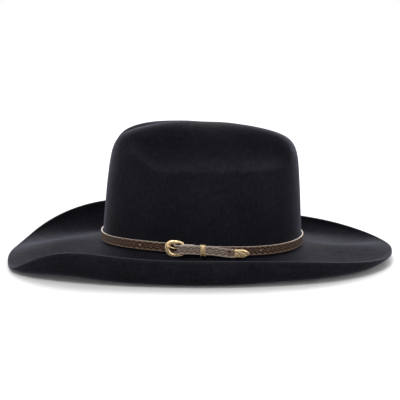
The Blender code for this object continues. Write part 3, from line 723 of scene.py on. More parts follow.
def make_felt():
    around, crown_rows, brim_rows = 264, 84, 40
    angle = TAU * np.arange(around) / around
    steps = np.concatenate([-(1 - np.arange(1, crown_rows) / crown_rows), np.arange(brim_rows + 1) / brim_rows])
    outer = felt_point(angle[None, :], steps[:, None])
    pole = felt_point(0.0, -1.0)

    def normals(grid):
        ahead = np.roll(grid, -1, 1) - np.roll(grid, 1, 1)
        down = np.concatenate([grid[1:], grid[-1:]]) - np.concatenate([grid[:1], grid[:-1]])
        return unit(np.cross(down, ahead))

    normal = normals(outer)
    free = smooth((-steps - 0.20) / 0.12) + smooth((steps - 0.12) / 0.25)
    outer = outer + normal * (hand_shaping(outer) * free[:, None])[..., None]
    normal = normals(outer)
    inner = outer - normal * FELT
    top_normal = unit(normal[0].mean(0))
    pole = pole + top_normal * hand_shaping(pole)
    edge_out = unit(outer[-1] - outer[-2])
    middle = (outer[-1] + inner[-1]) / 2
    rim = []
    for i in range(1, 8):
        turn = math.pi * i / 8
        swell = float(boxy(turn, 3.2))
        up = normal[-1] * FELT / 2 * math.cos(turn) * swell
        rim.append(middle + up + edge_out * 0.55 * MM * math.sin(turn) * swell)
    grid = np.concatenate([outer, np.stack(rim), inner[::-1]])
    rows = len(grid)
    lengths = np.concatenate([[0], np.cumsum(np.linalg.norm(np.diff(grid, axis=0), axis=2).mean(1))])
    nap = np.stack(np.broadcast_arrays(0.1 * np.cos(angle)[None, :], 0.1 * np.sin(angle)[None, :], lengths[:, None]), -1)
    cut = np.zeros((rows, around))
    first = len(outer)
    cut[first - 1 : first + 8] = 1.0
    cut[first - 1] = cut[first + 7] = 0.35
    points = np.concatenate([grid.reshape(-1, 3), [pole], [pole - top_normal * FELT]])
    faces = grid_faces(rows, around).tolist()
    last = rows * around
    for j in range(around):
        k = (j + 1) % around
        faces.append([last, j, k])
        faces.append([last + 1, last - around + k, last - around + j])
    ends = np.array([[0.0, 0.0, 0.0], [0.0, 0.0, lengths[-1]]])
    attributes = {
        "nap": np.concatenate([nap.reshape(-1, 3), ends]),
        "cut": np.concatenate([cut.reshape(-1), [0.0, 0.0]]),
    }
    obj = mesh_object("felt_shell", points, faces, attributes)
    place(obj, felt_look(), "felt", "hat", "felt_body", angle=60)


# ---------------------------------------------------------------- strap


def tooling(along, across):
    """Tooled face in millimetres along and across the strap: 1 is raised leather, 0 is beaten down."""
    period = 6.3
    phase = TAU * along / period
    out = np.abs(across)
    border = smooth((out - 2.95 + 0.55 * np.cos(phase)) / 0.4 + 0.5)
    border = border * (1 - 0.75 * bump_at(out - 3.72, 0.17))
    bend = 1.2 * np.sin(phase / 2)
    slope = 1.2 * math.pi / period * np.cos(phase / 2)
    stem = bump_at((across - bend) / np.sqrt(1 + slope**2), 0.40)
    count = np.round(phase / TAU - 0.5)
    side = np.where(count % 2 == 0, 1.0, -1.0)
    leaf_along = (phase / TAU - 0.5 - count) * period
    leaf_across = across + side * 1.05
    leaf = smooth(1.6 - 1.6 * ((leaf_along / 1.75) ** 2 + (leaf_across / 0.85) ** 2))
    leaf = leaf * (1 - 0.6 * bump_at(leaf_across - 0.18 * leaf_along, 0.13))
    return np.clip(np.maximum(border, np.maximum(0.9 * stem, 0.95 * leaf)), 0, 1)


def strap_track():
    """Arc, offset, sag, half height and free-end share every 0.36 mm of the strap, from its folded end."""
    step = 0.36 * MM
    full = STRAP_HEIGHT / 2

    def run(start, end, offset, sag=None, half=None, billet=0.0):
        arc = np.linspace(start, end, max(int(abs(end - start) / step), 2), endpoint=False)
        sag = np.zeros_like(arc) if sag is None else sag(arc)
        half = np.full_like(arc, full) if half is None else half(arc)
        return np.stack([arc, offset(arc), sag, half, np.full_like(arc, billet)], -1)

    tail = run(BAR_PLACE + 10.6 * MM, BAR_PLACE, lambda arc: np.full_like(arc, BAR_OFFSET - LOOP_RADIUS))
    turn = -math.pi / 2 - np.linspace(0, math.pi, 18)[:-1]
    loop = np.stack([BAR_PLACE + LOOP_RADIUS * np.cos(turn), BAR_OFFSET + LOOP_RADIUS * np.sin(turn)], -1)
    loop = np.concatenate([loop, np.zeros((17, 1)), np.full((17, 1), full), np.zeros((17, 1))], 1)
    under = run(BAR_PLACE, BAR_PLACE + 58 * MM, base_offset)
    far_end = AROUND_CROWN + BAR_PLACE - 20 * MM
    far = run(BAR_PLACE + 58 * MM, far_end, lambda arc: np.full_like(arc, FLAT_OFFSET))
    free = run(BAR_PLACE - 20 * MM, BILLET_END, billet_offset, billet_sag, billet_half_height, 1.0)
    free[:, 4] = smooth((free[:, 0] - BAR_PLACE + 9 * MM) / (6 * MM))
    return np.concatenate([tail, loop, under, far, free])


def cutter(name, grid):
    obj = grid_object(name, grid, caps=True)
    bpy.context.scene.collection.objects.link(obj)
    return obj


def band_pin(arc, offsets, radius, count=16):
    turn = TAU * np.arange(count) / count
    return np.stack([on_band(arc + radius * np.cos(turn), offset, radius * np.sin(turn)) for offset in offsets])


def band_slot(start, end, offsets, half_height):
    """A slot with rounded ends, as rings from the felt outwards."""
    turn = TAU * (np.arange(20) + 0.5) / 20
    arc = (start + end) / 2 + ((end - start) / 2) * boxy(turn, 5) * np.cos(turn)
    up = half_height * boxy(turn, 5) * np.sin(turn)
    return np.stack([on_band(arc, offset, up) for offset in offsets])


def tack_places():
    far = AROUND_CROWN / 2
    return (
        ("front_left", TACK_FRONT),
        ("back_left", TACK_BACK),
        ("back_right", far - TACK_BACK),
        ("front_right", far - TACK_FRONT),
    )


def make_strap():
    arc, offset, sag, half, billet = strap_track().T
    centre = on_band(arc, offset, sag)
    run = unit(np.gradient(centre[:, :2], axis=0))
    outward = np.stack([run[:, 1], -run[:, 0], np.zeros(len(run))], -1)
    along = np.concatenate([[0], np.cumsum(np.linalg.norm(np.diff(centre, axis=0), axis=1))])
    thick = STRAP_THICK / 2
    face = np.linspace(-1, 1, 25) * 0.972
    section = [(across, 1.0, 1.0, 0.0) for across in face]
    section += [(0.992, 0.86, 0.5, 0.6), (1.0, 0.4, 0.3, 1.0), (1.0, -0.4, 0.3, 1.0), (0.98, -0.92, 0.3, 1.0)]
    section += [(across, -1.0, 0.3, 1.0) for across in (0.7, 0.0, -0.7)]
    section += [(-0.98, -0.92, 0.3, 1.0), (-1.0, -0.4, 0.3, 1.0), (-1.0, 0.4, 0.3, 1.0), (-0.992, 0.86, 0.5, 0.6)]
    section = np.array(section)
    across = section[:, 0][None, :] * half[:, None]
    shown = section[:, 0][None, :] * 4.4 * np.ones_like(across)
    relief = np.broadcast_to(section[:, 2], across.shape).copy()
    tooled = section[:, 1] == 1.0
    pattern = tooling(along[:, None] / MM, shown)
    relief[:, tooled] = pattern[:, tooled]
    depth = 0.17 * MM * (1 - relief)
    out = section[:, 1][None, :] * thick - np.where(tooled[None, :], depth, 0.0)
    grid = centre[:, None, :] + outward[:, None, :] * out[..., None]
    grid[..., 2] += across
    edge = np.broadcast_to(section[:, 3], across.shape)
    free = np.broadcast_to(billet[:, None], across.shape)
    hole = np.hypot((arc[:, None] - PUNCHED_HOLE - 1.6 * MM) / 1.9, across - 0.8 * MM)
    worn = 0.9 * bump_at(hole, 2.1 * MM) * smooth((free - 0.9) / 0.1)
    ring = bump_at(np.hypot(arc[:, None] - PUNCHED_HOLE, across) - 1.2 * MM, 0.4 * MM) * smooth((free - 0.9) / 0.1)
    relief = np.where(tooled[None, :], relief * (1 - ring), relief)
    attributes = {"relief": relief, "edge": edge, "billet": free, "worn": worn}
    strap = grid_object("tooled_strap", grid, caps=True, attributes=attributes)
    bpy.context.scene.collection.objects.link(strap)
    cutters = [
        cutter("slot", band_slot(BAR_PLACE - 10.0 * MM, BAR_PLACE - 4.9 * MM, (1.9 * MM, 7.6 * MM), 1.4 * MM)),
        cutter("fold", band_slot(BAR_PLACE - 2.6 * MM, BAR_PLACE + 3.2 * MM, (-0.2 * MM, 5.3 * MM), 1.3 * MM)),
        cutter("hole", band_pin(PUNCHED_HOLE, (STRAP_LIFT + STRAP_THICK + 0.1 * MM, STRAP_LIFT + 5 * MM), 0.9 * MM)),
    ]
    for obj in cutters:
        boolean = strap.modifiers.new(obj.name, "BOOLEAN")
        boolean.object = obj
        boolean.operation = "DIFFERENCE"
    apply_modifiers(strap)
    for obj in cutters:
        bpy.data.objects.remove(obj, do_unlink=True)
    bpy.context.scene.collection.objects.unlink(strap)
    place(strap, strap_look(), "strap_leather", "hat", "hatband_strap", angle=50)


# ---------------------------------------------------------------- buckle set


def engraving(along, across, period=2.6):
    """Curved graver cuts in fans, in millimetres: 1 is the bottom of a cut."""
    fan = np.sin(TAU * along / period + 1.9 * np.sin(TAU * across / 4.4))
    gaps = np.sin(TAU * along / (period * 2.7) + 1.3 * across)
    return smooth((fan - 0.4) / 0.4) * smooth((gaps + 0.45) / 0.5)


def frame_path():
    """(arc, height, half width) round the buckle, from its upper shoulder over the front to the heel bar."""
    middle = BAR_PLACE - FRAME_SHOULDER
    path = []
    for turn in np.linspace(math.pi / 2, 3 * math.pi / 2, 17):
        swell = float(boxy(turn, 2.3))
        half = ARM_WIDTH / 2 - (FRAME_WIDTH - ARM_WIDTH) / 2 * math.cos(turn)
        reach = (FRAME_REACH - FRAME_SHOULDER) * swell
        path.append((middle + reach * math.cos(turn), FRAME_HALF_HEIGHT * swell * math.sin(turn), half))
    end = []
    for distance, height, half in ((5.4, 6.6, 1.6), (3.2, 6.45, 1.35), (1.4, 6.2, 1.1), (0.3, 5.9, 0.95)):
        end.append((BAR_PLACE - distance * MM, -height * MM, half * MM))
    end += [(BAR_PLACE, -5.3 * MM, BAR_RADIUS), (BAR_PLACE, -1.8 * MM, BAR_RADIUS)]
    return path + end + [(arc, -height, half) for arc, height, half in reversed(end)]


def make_frame(gold):
    path, along = smooth_curve(frame_path(), 220, True)
    arc, height, half = path.T
    run = unit(np.roll(path[:, :2], -1, 0) - np.roll(path[:, :2], 1, 0))
    turn = TAU * np.arange(28) / 28
    swell = boxy(turn, 2.4)
    thick = np.minimum(FRAME_THICK / 2, half)
    across = half[:, None] * (np.cos(turn) * swell)[None, :]
    crescent = smooth((BAR_PLACE - 1.6 * MM - arc) / (2 * MM))[:, None]
    top = smooth((np.sin(turn) - 0.15) / 0.35)[None, :]
    cut = engraving(along[:, None] / MM, across / MM) * crescent * top
    rim = 1 - smooth((np.abs(across) / half[:, None] - 0.78) / 0.12)
    # Painted shade: darker along the frame's inner and outer side walls, carried in the cut values beside the engraved
    # patina.
    painted_shade = 0.85 * smooth((np.abs(np.cos(turn)) - 0.80) / 0.15)[None, :] + 0.0 * cut
    cut = 0.6 * cut * rim
    arch = BAR_OFFSET + FRAME_ARCH * np.clip((BAR_PLACE - arc) / FRAME_REACH, 0, 1)
    out = arch[:, None] + thick[:, None] * (np.sin(turn) * swell)[None, :] - 0.22 * MM * cut
    grid = on_band(arc[:, None] + run[:, 1:2] * across, out, height[:, None] - run[:, 0:1] * across)
    frame_piece = grid_object("engraved_frame", grid, loop_rows=True, attributes={"cut": np.maximum(cut, painted_shade)})
    place(frame_piece, gold, "gold", "frame", "buckle_frame", angle=60)


def make_prong(gold):
    eye = BAR_RADIUS + 0.25 * MM + PRONG_RADIUS
    path = []
    for i in range(12):
        turn = math.radians(-170 + i * 260 / 11)
        path.append((BAR_PLACE + eye * math.cos(turn), BAR_OFFSET + eye * math.sin(turn), 0.0, PRONG_RADIUS))
    for share in (0.2, 0.45, 0.7, 0.88, 1.0):
        radius = PRONG_RADIUS * (1 - 0.45 * share**3)
        offset = BAR_OFFSET + eye + 1.6 * MM * share
        path.append((BAR_PLACE - PRONG_LENGTH * share, offset, PRONG_RISE * share**3, radius))
    path, _ = smooth_curve(path, 110)
    arc, offset, rise, radius = path.T
    radius[-3:] *= (0.93, 0.75, 0.35)
    run = unit(np.gradient(path[:, :2], axis=0))
    turn = TAU * np.arange(16) / 16
    side = radius[:, None] * np.cos(turn)[None, :]
    up = radius[:, None] * np.sin(turn)[None, :]
    grid = on_band(
        arc[:, None] - run[:, 1:2] * side, offset[:, None] + run[:, 0:1] * side, rise[:, None] + up
    )
    ring = np.sin(TAU * np.arange(110) / 5.0)[:, None] * np.ones_like(side)
    collar = bump_at(np.arange(110) - 58, 6)[:, None]
    prong = grid_object("tapered_prong", grid, caps=True, attributes={"cut": smooth(ring - 0.3) * collar})
    place(prong, gold, "gold", "prong", "buckle_prong", angle=60)


def make_keeper(gold):
    inside = (STRAP_LIFT - 0.4 * MM, STRAP_LIFT + 2 * STRAP_THICK + 0.8 * MM)
    half_depth, middle = (inside[1] - inside[0]) / 2, (inside[0] + inside[1]) / 2
    half_height = STRAP_HEIGHT / 2 + 0.3 * MM
    wall, ridge, half_width = 0.6 * MM, 0.25 * MM, KEEPER_WIDTH / 2
    turn = TAU * (np.arange(144) + 0.5) / 144
    share = np.concatenate([[-0.985], np.linspace(-0.96, 0.96, 41), [0.985]])
    rise = wall + ridge * (bump_at(np.abs(share) - 0.72, 0.13)) - 0.05 * MM * (np.abs(share) > 0.97)
    edge_share = np.array([0.999, 0.985, 0.5, 0.0, -0.5, -0.985, -0.999])
    edge_rise = np.array([wall * 0.6, 0.0, 0.0, 0.0, 0.0, 0.0, wall * 0.6])
    shares, rises = np.concatenate([share, edge_share]), np.concatenate([rise, edge_rise])
    swell = boxy(turn, 20)
    side, up = swell * np.cos(turn), swell * np.sin(turn)
    outside = (np.arange(len(shares)) < len(share))[None, :]
    around = np.cumsum(np.hypot(np.gradient(side) * half_depth, np.gradient(up) * half_height)) / MM
    cut = engraving(around[:, None], shares[None, :] * half_width / MM, 1.9)
    cut = cut * (1 - smooth((np.abs(shares)[None, :] - 0.42) / 0.08)) * outside
    groove = bump_at(np.abs(shares)[None, :] - 0.5, 0.05) * outside
    bulge = 0.35 * MM * (1 - up[:, None] ** 2) * (side[:, None] > 0) * (1 - shares[None, :] ** 2) * outside
    rises = rises[None, :] + bulge - 0.08 * MM * cut - 0.1 * MM * groove
    place_along = KEEPER_PLACE + shares[None, :] * half_width
    grid = on_band(
        np.broadcast_to(place_along, rises.shape),
        middle + side[:, None] * (half_depth + rises),
        up[:, None] * (half_height + rises),
    )
    # Painted shade: darker at the keeper's bottom and at its left and right ends, carried in the cut values with the
    # engraving's patina.
    painted_shade = 0.9 * smooth((-up - 0.45) / 0.3)[:, None] * smooth((0.75 - np.abs(shares)) / 0.2)[None, :]
    side_shade = 0.6 * smooth((np.abs(shares) - 0.80) / 0.1)[None, :]
    dark = np.maximum(np.maximum(0.1 * cut, painted_shade), np.maximum(groove, side_shade))
    keeper = grid_object("ridged_keeper", grid, loop_rows=True, attributes={"cut": dark})
    place(keeper, gold, "gold", "keeper", "strap_keeper", angle=50)


def tip_half(share):
    taper = np.maximum((share - 0.5) / 0.5, 0.0)
    return TIP_HEIGHT / 2 * np.maximum(1 - taper**1.7, 0.04)


def make_tip(gold):
    pocket = (BILLET_END + 0.4 * MM - TIP_START) / TIP_LENGTH
    outer = np.concatenate([[1.0, 0.995], np.linspace(0.985, 0.0, 56)])
    inner = np.linspace(0.0, pocket, 14)
    share = np.concatenate([outer, inner])
    inset = np.where(np.arange(len(share)) < len(outer), 0.0, 0.4 * MM)
    turn = TAU * (np.arange(72) + 0.5) / 72
    swell = boxy(turn, 7)
    side, up = swell * np.cos(turn), swell * np.sin(turn)
    half = tip_half(share) - inset
    end = 1 - 0.45 * smooth((share - 0.8) / 0.2)
    depth = np.where(inset > 0, 0.95 * MM, 1.45 * MM * end)
    arc = TIP_START + share * TIP_LENGTH
    cusp = (1 - smooth(share / 0.3))[:, None] * 0.9 * MM * np.abs(np.sin(1.5 * math.pi * np.clip(up, -1, 1)))[None, :]
    level = up[None, :] * half[:, None]
    front = smooth((side - 0.5) / 0.4)[None, :] * (inset == 0)[:, None]
    rim = 1 - smooth((np.abs(up)[None, :] - 0.78) / 0.1) * np.ones_like(level)
    cut = engraving(share[:, None] * TIP_LENGTH / MM + 0.7, level / MM, 3.1) * front * rim
    cut = cut * smooth((share - 0.04) / 0.05)[:, None] * (1 - smooth((share - 0.9) / 0.06))[:, None]
    bead = bump_at(share - 0.03, 0.02)[:, None] * front
    middle = billet_offset(np.minimum(arc, BILLET_END))
    out = middle[:, None] + side[None, :] * depth[:, None] - 0.25 * MM * cut + 0.12 * MM * bead
    grid = on_band(arc[:, None] - cusp, out, billet_sag(arc)[:, None] + level)
    shade = 0.55 * smooth((0.25 - up) / 0.4)[None, :] * front * rim * smooth((share - 0.05) / 0.1)[:, None]
    tip = grid_object("engraved_tip", grid, caps=True, attributes={"cut": np.maximum(cut, shade)})
    place(tip, gold, "gold", "hat", "strap_tip", angle=60)


def tube(points, radius, count=10):
    """A round tube with closed ends along points in space."""
    points = np.asarray(points, float)
    radius = np.broadcast_to(radius, len(points)).copy()
    radius[[0, -1]] *= 0.4
    run = unit(np.gradient(points, axis=0))
    start = np.array([0.0, 0.0, 1.0]) if abs(run[0, 2]) < 0.9 else np.array([1.0, 0.0, 0.0])
    sides = []
    for direction in run:
        start = unit(start - direction * np.dot(start, direction))
        sides.append(start)
    sides = np.array(sides)
    other = np.cross(run, sides)
    turn = TAU * np.arange(count) / count
    ring = sides[:, None, :] * np.cos(turn)[None, :, None] + other[:, None, :] * np.sin(turn)[None, :, None]
    return points[:, None, :] + ring * radius[:, None, None]


def make_tacks():
    """Each tack is five turns of waxed thread over the strap, and one round them."""
    thread = thread_look("tack thread", (0.10, 0.070, 0.048), (0.38, 0.31, 0.23))
    face = FLAT_OFFSET + STRAP_THICK / 2
    for name, arc in tack_places():
        strands = []
        for i in range(5):
            lift = np.linspace(-1, 1, 13)
            lean = (i - 2) * 0.30 * MM * (1 - 0.45 * np.abs(lift)) + 0.05 * MM * math.sin(2.4 * i)
            rise = face + 0.28 * MM * (1 - lift**4) - 0.22 * MM * lift**4
            strands.append(tube(on_band(arc + lean, rise, lift * 1.05 * MM), 0.17 * MM))
        turn = np.linspace(0, TAU, 25)[:-1]
        wrap = on_band(arc + 0.85 * MM * np.cos(turn), face + 0.22 * MM + 0.24 * MM * np.sin(turn), 0.1 * MM * np.cos(turn))
        strands.append(tube(wrap, 0.15 * MM))
        place(join_grids("thread_tack_" + name, strands), thread, "thread", "hat", "band_tack_" + name, angle=80)


# ---------------------------------------------------------------- inside of the hat


def ring_points(section, around=240, sway=None):
    """Points of a section (depth, height) carried round the crown's wall."""
    angle = TAU * np.arange(around) / around
    section = np.asarray(section, float)
    depth = np.broadcast_to(section[None, :, 0], (around, len(section))).copy()
    height = np.broadcast_to(section[None, :, 1], depth.shape)
    if sway is not None:
        depth += sway(angle[:, None], height)
    return wall_point(angle[:, None], depth, height)


def weave_of(grid):
    """Distances round and up a ring of points, for the weave of a cloth."""
    around = np.linspace(0, 0.58, grid.shape[0])[:, None] * np.ones(grid.shape[1])
    up = np.concatenate([[0], np.cumsum(np.linalg.norm(np.diff(grid[0], axis=0), axis=1))])
    return np.stack([around, np.broadcast_to(up, around.shape), np.zeros_like(around)], -1)


def stitch_run(name, centres, along, normal, length, radius, look):
    """A line of thread stitches, each a low arch that dips into the leather at both ends."""
    reach = np.linspace(-0.5, 0.5, 7)
    turn = TAU * np.arange(6) / 6
    size = radius * np.array([0.5, 0.85, 1.0, 1.0, 1.0, 0.85, 0.5])
    rise = radius * (0.9 - 5.0 * np.abs(reach) ** 3 * 1.6)
    side = np.cross(along, normal)
    grids = []
    for centre, run, out, over in zip(centres, along, normal, side):
        line = centre + run * (reach * length)[:, None] + out * rise[:, None]
        ring = out[None, None, :] * np.cos(turn)[None, :, None] + over[None, None, :] * np.sin(turn)[None, :, None]
        grids.append(line[:, None, :] + ring * size[:, None, None])
    return place(join_grids(name, grids), look, "thread", "hat", angle=80)


def wall_stitches(depth, height, count, zigzag=0.0):
    """Centres, directions and inward normals for stitches round the inside of the crown."""
    angle = TAU * (np.arange(count) + 0.5) / count
    swing = zigzag * np.where(np.arange(count) % 2 == 0, 1.0, -1.0)
    centre = wall_point(angle, depth, height)
    run = unit(wall_point(angle + 0.004, depth, height) - centre)
    inward = np.stack([-run[:, 1], run[:, 0], np.zeros(count)], -1)
    run = unit(run + np.array([0.0, 0.0, 1.0]) * swing[:, None])
    return centre, run, inward


def make_sweatband():
    top_outer = LINING_DEPTH + LINING_THICK + 0.9 * MM
    top_inner = top_outer + SWEATBAND_THICK
    hollow = REED_RADIUS + GAP
    turn = hollow + SWEATBAND_THICK
    middle = FELT + GAP + turn
    bend = np.linspace(0, math.pi, 17)
    fold = [(middle + turn * math.cos(a), -turn * math.sin(a)) for a in bend]
    inside = [(middle + hollow * math.cos(a), -hollow * math.sin(a)) for a in bend]
    rise = [(top_inner, z * MM) for z in np.linspace(47.0, 15.0, 12)]
    ease = [(top_inner + (middle + turn - top_inner) * float(smooth(t)), (15 - 15 * t) * MM) for t in (0.25, 0.5, 0.75)]
    lip = [(top_outer, 47.6 * MM), (top_outer + 0.2 * MM, 48 * MM), (top_inner - 0.2 * MM, 48 * MM), (top_inner, 47.6 * MM)]
    flap = [(middle - turn, 3 * MM), (middle - hollow, 3 * MM)]
    back = [(top_outer + (middle + hollow - top_outer) * float(smooth(t)), (15 - 15 * t) * MM) for t in (0.75, 0.5, 0.25)]
    rear = [(top_outer, z * MM) for z in np.linspace(15.0, 46.5, 8)]
    section = np.array(lip + rise + ease + fold + flap + inside[::-1] + back + rear)

    def sway(angle, height):
        loose = smooth((height - 14 * MM) / (30 * MM))
        waves = np.sin(5 * angle + 0.8) + 0.7 * np.sin(11 * angle + 2.1) + 0.4 * np.sin(17 * angle)
        return 0.12 * MM * waves * loose

    grid = ring_points(section, 300, sway)
    lean = np.linspace(0, TAU, 300, endpoint=False) - math.pi
    seam = bump_at(lean * CROWN_REACH, 0.7 * MM)[:, None]
    press = np.zeros(len(section))
    press[4:16] = 0.35 * MM
    centre = grid.mean(axis=(0, 1))
    outward = unit((grid - centre) * np.array([1.0, 1.0, 0.0]))
    grid = grid + outward * (seam * press[None, :])[..., None]
    edge = np.zeros(len(section))
    edge[0:4] = 0.8
    edges = np.broadcast_to(edge, grid.shape[:2])
    band = grid_object("leather_sweatband", grid, loop_rows=True, attributes={"edge": edges})
    place(band, sweatband_look(), "sweatband_leather", "hat", "sweatband", angle=50)
    thread = thread_look("sweatband thread", (0.05, 0.028, 0.014), (0.16, 0.10, 0.055))
    depth = middle + turn
    stitch_run("reed_stitching", *wall_stitches(depth - 0.1 * MM, 2.4 * MM, 176), 2.5 * MM, 0.22 * MM, thread)
    heights = np.linspace(8, 44, 16) * MM
    side = np.where(np.arange(16) % 2 == 0, 1.0, -1.0)
    place_y = np.zeros(16)
    centre = wall_point(np.full(16, math.pi), top_inner + 0.02 * MM, heights)
    centre[:, 1] += place_y
    run = unit(np.stack([np.zeros(16), side, np.full(16, 0.5)], -1))
    inward = np.tile([-1.0, 0.0, 0.0], (16, 1))
    stitch_run("back_seam_stitching", centre, run, inward, 2.8 * MM, 0.2 * MM, thread)
    reed_turn = TAU * np.arange(12) / 12
    cord = [(middle + REED_RADIUS * math.cos(a), REED_RADIUS * math.sin(a)) for a in reed_turn]
    reed = grid_object("plastic_reed", ring_points(cord, 200), loop_rows=True)
    place(reed, reed_look(), "reed", "hat", "sweatband_reed", angle=80)
    near, deep = FELT + GAP, FELT + GAP + 0.6 * MM
    tape = [(near, 3.6 * MM), (near, 6.3 * MM), (near, 9 * MM), (deep, 9 * MM), (deep, 6.3 * MM), (deep, 3.6 * MM)]
    grid = ring_points(tape, 240)
    tape = grid_object("welt_tape", grid, loop_rows=True, attributes={"weave": weave_of(grid)})
    ribbon = ribbon_look("welt tape", (0.02, 0.02, 0.024), (0.07, 0.07, 0.08), 700.0)
    place(tape, ribbon, "ribbon", "hat", "reed_tape", angle=50)


def shell_grid(angle, steps, depth, thick, ripple):
    """A thin cloth shell between two depths behind the felt, closed at its free edges."""
    waves = ripple(angle[None, :], steps[:, None])
    near = felt_inside(angle[None, :], steps[:, None], depth + waves)
    far = felt_inside(angle[None, :], steps[:, None], depth + thick + waves)
    return near, far


def make_lining():
    satin = satin_look()
    angle = TAU * np.arange(240) / 240
    steps = np.linspace(11 / 18 - 1, 17 / 18 - 1, 40)

    def pleats(a, s):
        fade = smooth((s + 0.36) / 0.12) * 0.6 + 0.4
        waves = 0.5 * np.sin(23 * a + 0.6 * np.sin(3 * a)) + 0.35 * np.sin(41 * a + 1.4) + 0.3 * np.sin(9 * a + 8 * s)
        return 0.16 * MM * waves * fade

    near, far = shell_grid(angle, steps, LINING_DEPTH, LINING_THICK, pleats)
    grid = np.concatenate([near, far[::-1]])
    weave = weave_of(grid.transpose(1, 0, 2)).transpose(1, 0, 2)
    side = grid_object("satin_side_band", grid, loop_rows=True, attributes={"weave": weave})
    place(side, satin, "satin", "hat", "lining_side_band", angle=60)
    tip_steps = np.linspace(0.96 / 18, 10 / 18, 44) - 1
    tip = sheet_cap("satin_tip", tip_steps, TIP_DEPTH, LINING_THICK, 0.10)
    place(tip, satin, "satin", "hat", "lining_tip", angle=60)
    clear_steps = np.linspace(0.96 / 18, 8 / 18, 40) - 1
    clear = sheet_cap("clear_protector", clear_steps, PROTECTOR_DEPTH, PROTECTOR_THICK, 0.0)
    place(clear, clear_look(), "clear_sheet", "hat", "tip_protector", angle=60)
    centre_depth = TIP_DEPTH + LINING_THICK + 2 * GAP + PIPING_RADIUS
    ring = TAU * np.arange(10) / 10
    angle = TAU * np.arange(300) / 300
    centre = felt_inside(angle, np.full(300, SEAM_STEP), centre_depth)
    out = unit(felt_inside(angle, np.full(300, SEAM_STEP), LINING_DEPTH) - centre)
    along = unit(np.roll(centre, -1, 0) - np.roll(centre, 1, 0))
    across = unit(np.cross(out, along))
    cord = PIPING_RADIUS * (1 + 0.03 * np.sin(60 * angle))
    spokes = out[:, None, :] * np.cos(ring)[None, :, None] + across[:, None, :] * np.sin(ring)[None, :, None]
    grid = centre[:, None, :] + spokes * cord[:, None, None]
    piping = grid_object("piping_cord", grid, loop_rows=True, attributes={"weave": weave_of(grid)})
    place(piping, satin, "satin", "hat", "lining_piping", angle=80)


def sheet_cap(name, steps, depth, thick, ripple):
    """An oval sheet under the crown's top, with a middle on both faces and a closed edge."""
    around = 240
    angle = TAU * np.arange(around) / around

    def creases(a, s):
        waves = np.sin(7 * a + 9 * s) + 0.6 * np.sin(13 * a - 14 * s + 1.0)
        return ripple * MM * waves * smooth((s + 0.98) / 0.3)

    near, far = shell_grid(angle, steps, depth, thick, creases)
    grid = np.concatenate([near, far[::-1]])
    rows = len(grid)
    top, under = (felt_inside(0.0, np.asarray(-1.0), depth + extra) for extra in (0.0, thick))
    points = np.concatenate([grid.reshape(-1, 3), [top], [under]])
    faces = grid_faces(rows, around).tolist()
    last = rows * around
    for j in range(around):
        k = (j + 1) % around
        faces.append([last, j, k])
        faces.append([last + 1, last - around + k, last - around + j])
    return mesh_object(name, points, faces, {"weave": points * np.array([1.0, 1.0, 0.0])})


def make_bow():
    """A flat bow of narrow ribbon, tied over the back seam of the sweatband."""
    look = ribbon_look("bow ribbon", (0.012, 0.012, 0.015), (0.045, 0.045, 0.052), 520.0)
    depth = LINING_DEPTH + LINING_THICK + SWEATBAND_THICK + 2.6 * MM
    centre = wall_point(math.pi, depth, 22 * MM)
    grids, weaves = [], []

    def ribbon(path, half, thick=0.22 * MM):
        """A strip from (side, out) places in the bow's plane, with half widths, and its weave."""
        side, out, lift = path
        run = unit(np.stack([np.gradient(side), np.gradient(out)], -1))
        length = np.concatenate([[0], np.cumsum(np.hypot(np.diff(side), np.diff(out)))])
        corners = []
        for sign_out, sign_up in ((1, -1), (1, 0), (1, 1), (-1, 1), (-1, 0), (-1, -1)):
            y = side - run[:, 1] * sign_out * thick / 2
            x = out + run[:, 0] * sign_out * thick / 2
            corners.append(np.stack([centre[0] - x, centre[1] + y, centre[2] + lift + half * sign_up], -1))
        grid = np.stack(corners, 1)
        weave = np.stack([np.broadcast_to(length[:, None], grid.shape[:2]), grid[..., 2], np.zeros(grid.shape[:2])], -1)
        grids.append(grid)
        weaves.append(weave.reshape(-1, 3))

    for sign in (1, -1):
        turn = np.linspace(0.06, 1.94, 61) * math.pi
        reach = 10.8 * MM * np.sin(turn / 2) ** 0.9
        swell = np.sin(turn / 2)
        out = 0.62 * MM * np.sin(turn) * (0.6 + 0.6 * swell) + 0.15 * MM
        half = (1.1 + 2.7 * np.sin(math.pi * np.clip(reach / (11.2 * MM), 0, 1) ** 0.8)) * MM
        ribbon((sign * reach, out * sign, np.zeros_like(reach)), half)
        run = np.linspace(0, 1, 24)
        side = sign * (0.6 + 7.5 * run**1.1) * MM
        half = (1.0 + 1.3 * run) * MM
        ribbon((side, (-0.75 + 0.25 * np.sin(5 * run)) * MM, -(1.0 + 5.2 * run) * MM), half, 0.2 * MM)
    turn = np.linspace(0, TAU, 25)
    half = np.full_like(turn, 1.5 * MM)
    ribbon((1.25 * MM * np.cos(turn), 0.9 * MM * np.sin(turn), np.zeros_like(turn)), half, 0.25 * MM)
    bow = join_grids("ribbon_bow", grids, {"weave": np.concatenate(weaves)})
    return place(bow, look, "ribbon", "hat", "sweatband_bow", angle=50)


# ---------------------------------------------------------------- studio


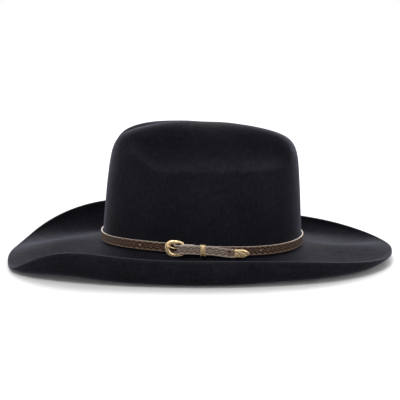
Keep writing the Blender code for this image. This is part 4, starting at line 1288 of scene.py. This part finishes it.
def floor_look():
    look = Look("pale floor", 0.8, specular=0.1)
    grain = look.noise(look.spot(), 60.0, 3.0)
    look.set("Base Color", look.ramp(grain, (0.3, (0.58, 0.58, 0.58)), (0.7, (0.60, 0.60, 0.60))))
    look.set("Emission Color", (1.0, 1.0, 1.0))
    look.set("Emission Strength", 0.03)
    return look.material


def make_studio(lowest):
    size = 6.0
    corners = [(-size, -size, lowest), (size, -size, lowest), (size, size, lowest), (-size, size, lowest)]
    data = bpy.data.meshes.new("floor")
    data.from_pydata(corners, [], [(0, 1, 2, 3)])
    data.materials.append(floor_look())
    floor = bpy.data.objects.new("floor", data)
    bpy.context.scene.collection.objects.link(floor)
    floor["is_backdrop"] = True
    world = bpy.data.worlds.new("studio")
    world.use_nodes = True
    world.node_tree.nodes["Background"].inputs["Color"].default_value = (1.0, 1.0, 1.0, 1.0)
    world.node_tree.nodes["Background"].inputs["Strength"].default_value = 1.0
    bpy.context.scene.world = world
    for name, strength, softness, toward in (
        ("overhead", 2.8, 60, (0.14, 0.76, 1.0)),
        ("front_key", 1.5, 14, (-0.30, -0.65, 1.1)),
        ("front_fill", 0.5, 30, (0.9, -0.8, 0.45)),
    ):
        data = bpy.data.lights.new(name, "SUN")
        data.energy = strength
        data.angle = math.radians(softness)
        lamp = bpy.data.objects.new(name, data)
        lamp.rotation_euler = Vector(toward).to_track_quat("Z", "Y").to_euler()
        bpy.context.scene.collection.objects.link(lamp)


def make_camera():
    data = bpy.data.cameras.new("camera")
    data.lens = 112
    data.sensor_width = 36
    camera = bpy.data.objects.new("camera", data)
    back = Vector((0, -math.cos(VIEW_ELEVATION), math.sin(VIEW_ELEVATION)))
    camera.location = VIEW_TARGET + back * VIEW_DISTANCE
    camera.rotation_euler = (math.pi / 2 - VIEW_ELEVATION, 0, 0)
    bpy.context.scene.collection.objects.link(camera)
    bpy.context.scene.camera = camera


def main():
    make_camera()
    make_felt()
    make_strap()
    gold = gold_look()
    make_frame(gold)
    make_prong(gold)
    make_keeper(gold)
    make_tip(gold)
    make_tacks()
    make_sweatband()
    make_lining()
    make_bow()
    make_studio(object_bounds()[0][2] - 0.05 * MM)
    view = bpy.context.scene.view_settings
    view.view_transform = "Standard"
    view.look = "None"


main()
